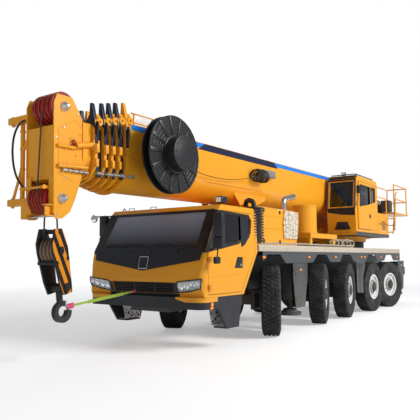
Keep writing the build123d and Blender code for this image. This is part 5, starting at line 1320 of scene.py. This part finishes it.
# Cable reel: ribbed sheet-steel drum for the signal cable, black, with a bolted hub cap
# and small plates, on a stub from the boom's side.
reel_black = painted("reel black", (0.012, 0.013, 0.015), 0.1, 1.0, 0.34)
dress(reel_black, "cable_reel")
REEL = boom_at(10.175, 0, 0.145)
steps = []
for low, thickness in ((0.925, 0.015), (0.749, 0.011)):
    for x, z in around(14, 1):
        aim, wide = Vector((x, 0, z)), Vector((-z, 0, x))
        corners = ((0.285, -0.018), (0.618, -0.036), (0.618, 0.036), (0.285, 0.018))
        corners = [REEL + ACROSS * low + aim * out + wide * turned for out, turned in corners]
        steps.append((slab, corners, ACROSS, thickness, 0.005))
for radius in (0.618, 0.54, 0.47, 0.4, 0.335):
    steps += [(hoop, 0, radius, 0.006, 8, 64, REEL + ACROSS * y) for y in (0.925, 0.76)]
build("reel_ribs", reel_black, *steps, body="cable_reel")
steps = []
for layer, radius in enumerate((0.318, 0.34, 0.362)):
    for row in range(5):
        along = 0.79 + 0.022 * row + 0.004 * (layer % 2)
        steps.append((hoop, along, radius, 0.01, 6, 40, REEL + ACROSS * 0.012))
build("reel_cable", hose_rubber, *steps, body="cable_reel")
CAP = (
    (1.117, 0.0), (1.117, 0.286), (1.126, 0.284), (1.13, 0.262), (1.136, 0.18), (1.142, 0.15), (1.142, 0.0),
)
SEAT = ((0.926, 0.286), (0.926, 0.31), (0.942, 0.308), (0.946, 0.286))
steps = [(spun, CAP, 48, REEL, ACROSS, False), (spun, SEAT, 48, REEL)]
steps.append((face_bolts, REEL, 0.24, 1.126, 12, 0.012, 0.014))
build("reel_hub_cap", reel_black, *steps, body="cable_reel")

# Hook block: two heavy cheek plates with hazard stripes, brown sheaves with brass-coloured
# rims between them, and a forged hook with a sprung latch in a swivelling crosshead.
BLOCK = Matrix.Translation((7.02, 0, 1.93))
BLOCK @= Matrix.Rotation(math.radians(18), 4, "Z") @ Matrix.Rotation(math.radians(15), 4, "Y")
BLOCK_ACROSS = BLOCK.to_3x3() @ ACROSS
CHEEK = (
    (-0.175, -0.03), (-0.015, 0.0), (0.105, -0.19), (0.11, -0.33), (0.052, -0.78),
    (-0.01, -0.975), (-0.225, -1.0), (-0.24, -0.88), (-0.265, -0.32),
)
hazard, tree, shader = bare_material("hazard stripes", {"Roughness": 0.4})
turned = node(tree, "Mapping", {"Vector": node(tree, "TexCoord"), "Rotation": (0, math.radians(58), 0)})
bands = node(tree, "TexWave", {"Vector": turned, "Scale": 1.9}, bands_direction="Z")
cut = sums(tree, "GREATER_THAN", bands, 0.5)
feed(shader, {"Base Color": between(tree, cut, (0.015, 0.015, 0.016, 1), (0.78, 0.27, 0.01, 1))})
hook_paint = painted("hook black", (0.014, 0.014, 0.016), 0.2, 1.0, 0.5)
dress(hook_paint, "hook_block")


def on_block(x, y, z):
    """A place in the hook block's own directions, from its upper pin."""
    return BLOCK @ Vector((x, y, z))


middle_x = sum(x for x, _ in CHEEK) / len(CHEEK)
middle_z = sum(z for _, z in CHEEK) / len(CHEEK)
plate = [(middle_x + (x - middle_x) * 1.012, middle_z + (z - middle_z) * 1.004) for x, z in CHEEK]
stripes = (slab, [on_block(x, 0.1395, z) for x, z in plate], BLOCK_ACROSS, 0.004)
build("hook_cheek_stripes", hazard, stripes, body="hook_block")
brass_rim = painted("brass rim", (0.42, 0.3, 0.17), 0.1, 1.0, 0.35)
sheave_brown = painted("sheave brown rim", (0.09, 0.05, 0.026), 0.2, 1.0, 0.45)
BLOCK_PIN = on_block(-0.078, 0, -0.33)
profile = [(-0.102, 0.05), (-0.102, 0.18)]
for start in (-0.08, -0.016, 0.048):
    profile += [(start - 0.018, 0.183), (start - 0.01, 0.183), (start + 0.004, 0.181)]
    profile += [(start + 0.016, 0.181), (start + 0.028, 0.183)]
profile += [(0.09, 0.183), (0.102, 0.18), (0.102, 0.05)]
sheaves = (spun, profile, 44, BLOCK_PIN, BLOCK_ACROSS)
build("hook_block_sheaves", sheave_brown, sheaves, body="hook_block", slot="bare_steel")
places = (-0.084, -0.024, 0.036, 0.092)
rims = [(hoop, along, 0.182, 0.005, 8, 44, BLOCK_PIN, BLOCK_ACROSS) for along in places]
build("hook_block_rims", brass_rim, *rims, body="hook_block", slot="bare_steel")
BLOCK_PINS = (
    # along, up, radius
    (-0.1, -0.06, 0.034),
    (0.07, -0.48, 0.028),
    (-0.215, -0.48, 0.028),
    (-0.078, -0.33, 0.056),
    (-0.105, -0.89, 0.068),
)
steps = []
for x, z, radius in BLOCK_PINS:
    for near, far in ((-0.158, -0.139), (0.141, 0.16)):
        steps.append((bar, on_block(x, near, z), on_block(x, far, z), radius, 24))
    if radius < 0.04:
        steps.append((bar, on_block(x, -0.139, z), on_block(x, 0.139, z), radius, 18))
build("hook_block_pins", hook_paint, *steps, body="hook_block", slot="bare_steel")
latch_top = Vector((6.566, -0.133, 0.88))
latch_tip = Vector((6.483, -0.133, 0.75))
corners = [latch_top - ACROSS * 0.03, latch_tip - ACROSS * 0.026, latch_tip + ACROSS * 0.026]
tongue = (slab, [*corners, latch_top + ACROSS * 0.03], (1, 0, -0.3), 0.008)
hinge = (cross_bar, latch_top, -0.048, 0.048, 0.016, 12)
build("hook_latch", coupling_steel, hinge, tongue, body="hook_block", slot="bare_steel")

# Tie strap: lime polyester webbing with pink sewn ends, pulled tight from the hook to
# the bumper. It rides on the carrier.
strap_lime = woven("strap lime", (0.34, 0.52, 0.03), 0.75)
strap_pink = woven("strap pink", (0.75, 0.06, 0.2), 0.75)
STRAP_START = Vector((6.53, -0.13, 0.8))
STRAP_END = Vector((5.035, -0.12, 0.955))
for name, material, first, last, half, thick in (
    ("strap_web_low", strap_lime, 0.02, 0.3, 0.018, 0.006),
    ("strap_web_middle", strap_lime, 0.28, 0.8, 0.026, 0.009),
    ("strap_web_high", strap_lime, 0.78, 0.95, 0.018, 0.006),
    ("strap_hook_end", strap_pink, 0.0, 0.09, 0.042, 0.016),
    ("strap_bumper_end", strap_pink, 0.94, 1.0, 0.024, 0.012),
):
    start, end = STRAP_START.lerp(STRAP_END, first), STRAP_START.lerp(STRAP_END, last)
    up = Vector((0, 0, half))
    build(name, material, (slab, [start - up, end - up, end + up, start + up], ACROSS, thick, 0.002))


# Floor and light: a pale studio floor that runs out to white, one large soft key from
# the left, where the photograph's light comes from, and a weak even sky round it.
floor_shape = bmesh.new()
bmesh.ops.create_grid(floor_shape, x_segments=1, y_segments=1, size=90)
floor_mesh = bpy.data.meshes.new("studio_floor")
floor_shape.to_mesh(floor_mesh)
floor_shape.free()
studio_floor = bpy.data.objects.new("studio_floor", floor_mesh)
bpy.context.scene.collection.objects.link(studio_floor)
values = {"Base Color": (0.86, 0.86, 0.86, 1), "Roughness": 0.9, "Specular IOR Level": 0.1}
floor_paint, tree, shader = bare_material("pale studio floor", values)
reach = node(tree, "VectorMath", {0: node(tree, "TexCoord")}, operation="LENGTH")
fade = {"Value": reach, "From Min": 9, "From Max": 22}
fade = node(tree, "MapRange", fade, interpolation_type="SMOOTHSTEP")
glow = node(tree, "Emission", {"Strength": sums(tree, "MULTIPLY", node(tree, "LightPath"), 0.36)})
lit = node(tree, "AddShader", {0: shader.outputs["BSDF"], 1: glow})
white = node(tree, "Emission", {"Strength": 1.0})
blend = node(tree, "MixShader", {"Fac": fade, 1: lit, 2: white})
feed(tree.nodes["Material Output"], {"Surface": blend})
floor_mesh.materials.append(floor_paint)

world = bpy.data.worlds.new("studio sky")
bpy.context.scene.world = world
world.use_nodes = True
tree = world.node_tree
sky = tree.nodes["Background"]
feed(sky, {"Color": (0.93, 0.96, 1.0, 1), "Strength": 0.3})
seen = node(tree, "Background", {"Color": (1, 1, 1, 1), "Strength": 1.0})
path = node(tree, "LightPath").node.outputs
either = sums(tree, "MAXIMUM", path["Is Camera Ray"], path["Is Transmission Ray"])
chosen = node(tree, "MixShader", {"Fac": either, 1: sky.outputs["Background"], 2: seen})
feed(tree.nodes["World Output"], {"Surface": chosen})

LAMPS = (
    # name, place, aims at, size, power
    ("key_lamp", (-1.0, 18.0, 12.0), (0.0, 0.0, 2.0), 9.0, 3700),
    ("fill_lamp", (17.0, 1.5, 7.0), (2.0, 0.0, 1.8), 8.0, 60),
    ("rim_lamp", (-12.0, -12.0, 12.0), (0.0, 0.0, 2.0), 8.0, 600),
)
for name, place, aim, size, power in LAMPS:
    lamp_data = bpy.data.lights.new(name, "AREA")
    lamp_data.shape = "DISK"
    lamp_data.size = size
    lamp_data.energy = power
    lamp = bpy.data.objects.new(name, lamp_data)
    bpy.context.scene.collection.objects.link(lamp)
    lamp.location = place
    lamp.rotation_euler = (Vector(aim) - Vector(place)).to_track_quat("-Z", "Y").to_euler()

# Camera: where the photograph was taken from, at a standing person's height ahead and to
# the left of the cab. It looks a little up, and its frame is square.
EYE = (11.966, 6.255, 1.515)
LOOK_TURN = 34.758
LOOK_UP = 4.648
LOOK_ROLL = -0.291
IMAGE_SIDE = 420
FOCAL_PIXELS = 539.0
CENTRE_BELOW = 4.0
camera_data = bpy.data.cameras.new("camera")
camera_data.sensor_width = 36
camera_data.lens = camera_data.sensor_width * FOCAL_PIXELS / IMAGE_SIDE
camera_data.shift_y = CENTRE_BELOW / IMAGE_SIDE
camera_data.clip_end = 400
camera = bpy.data.objects.new("camera", camera_data)
bpy.context.scene.collection.objects.link(camera)
camera.matrix_world = (
    Matrix.Translation(EYE)
    @ Matrix.Rotation(math.radians(90 + LOOK_TURN), 4, "Z")
    @ Matrix.Rotation(math.radians(90 + LOOK_UP), 4, "X")
    @ Matrix.Rotation(math.radians(LOOK_ROLL), 4, "Z")
)
bpy.context.scene.camera = camera
bpy.context.scene.view_settings.view_transform = "Standard"
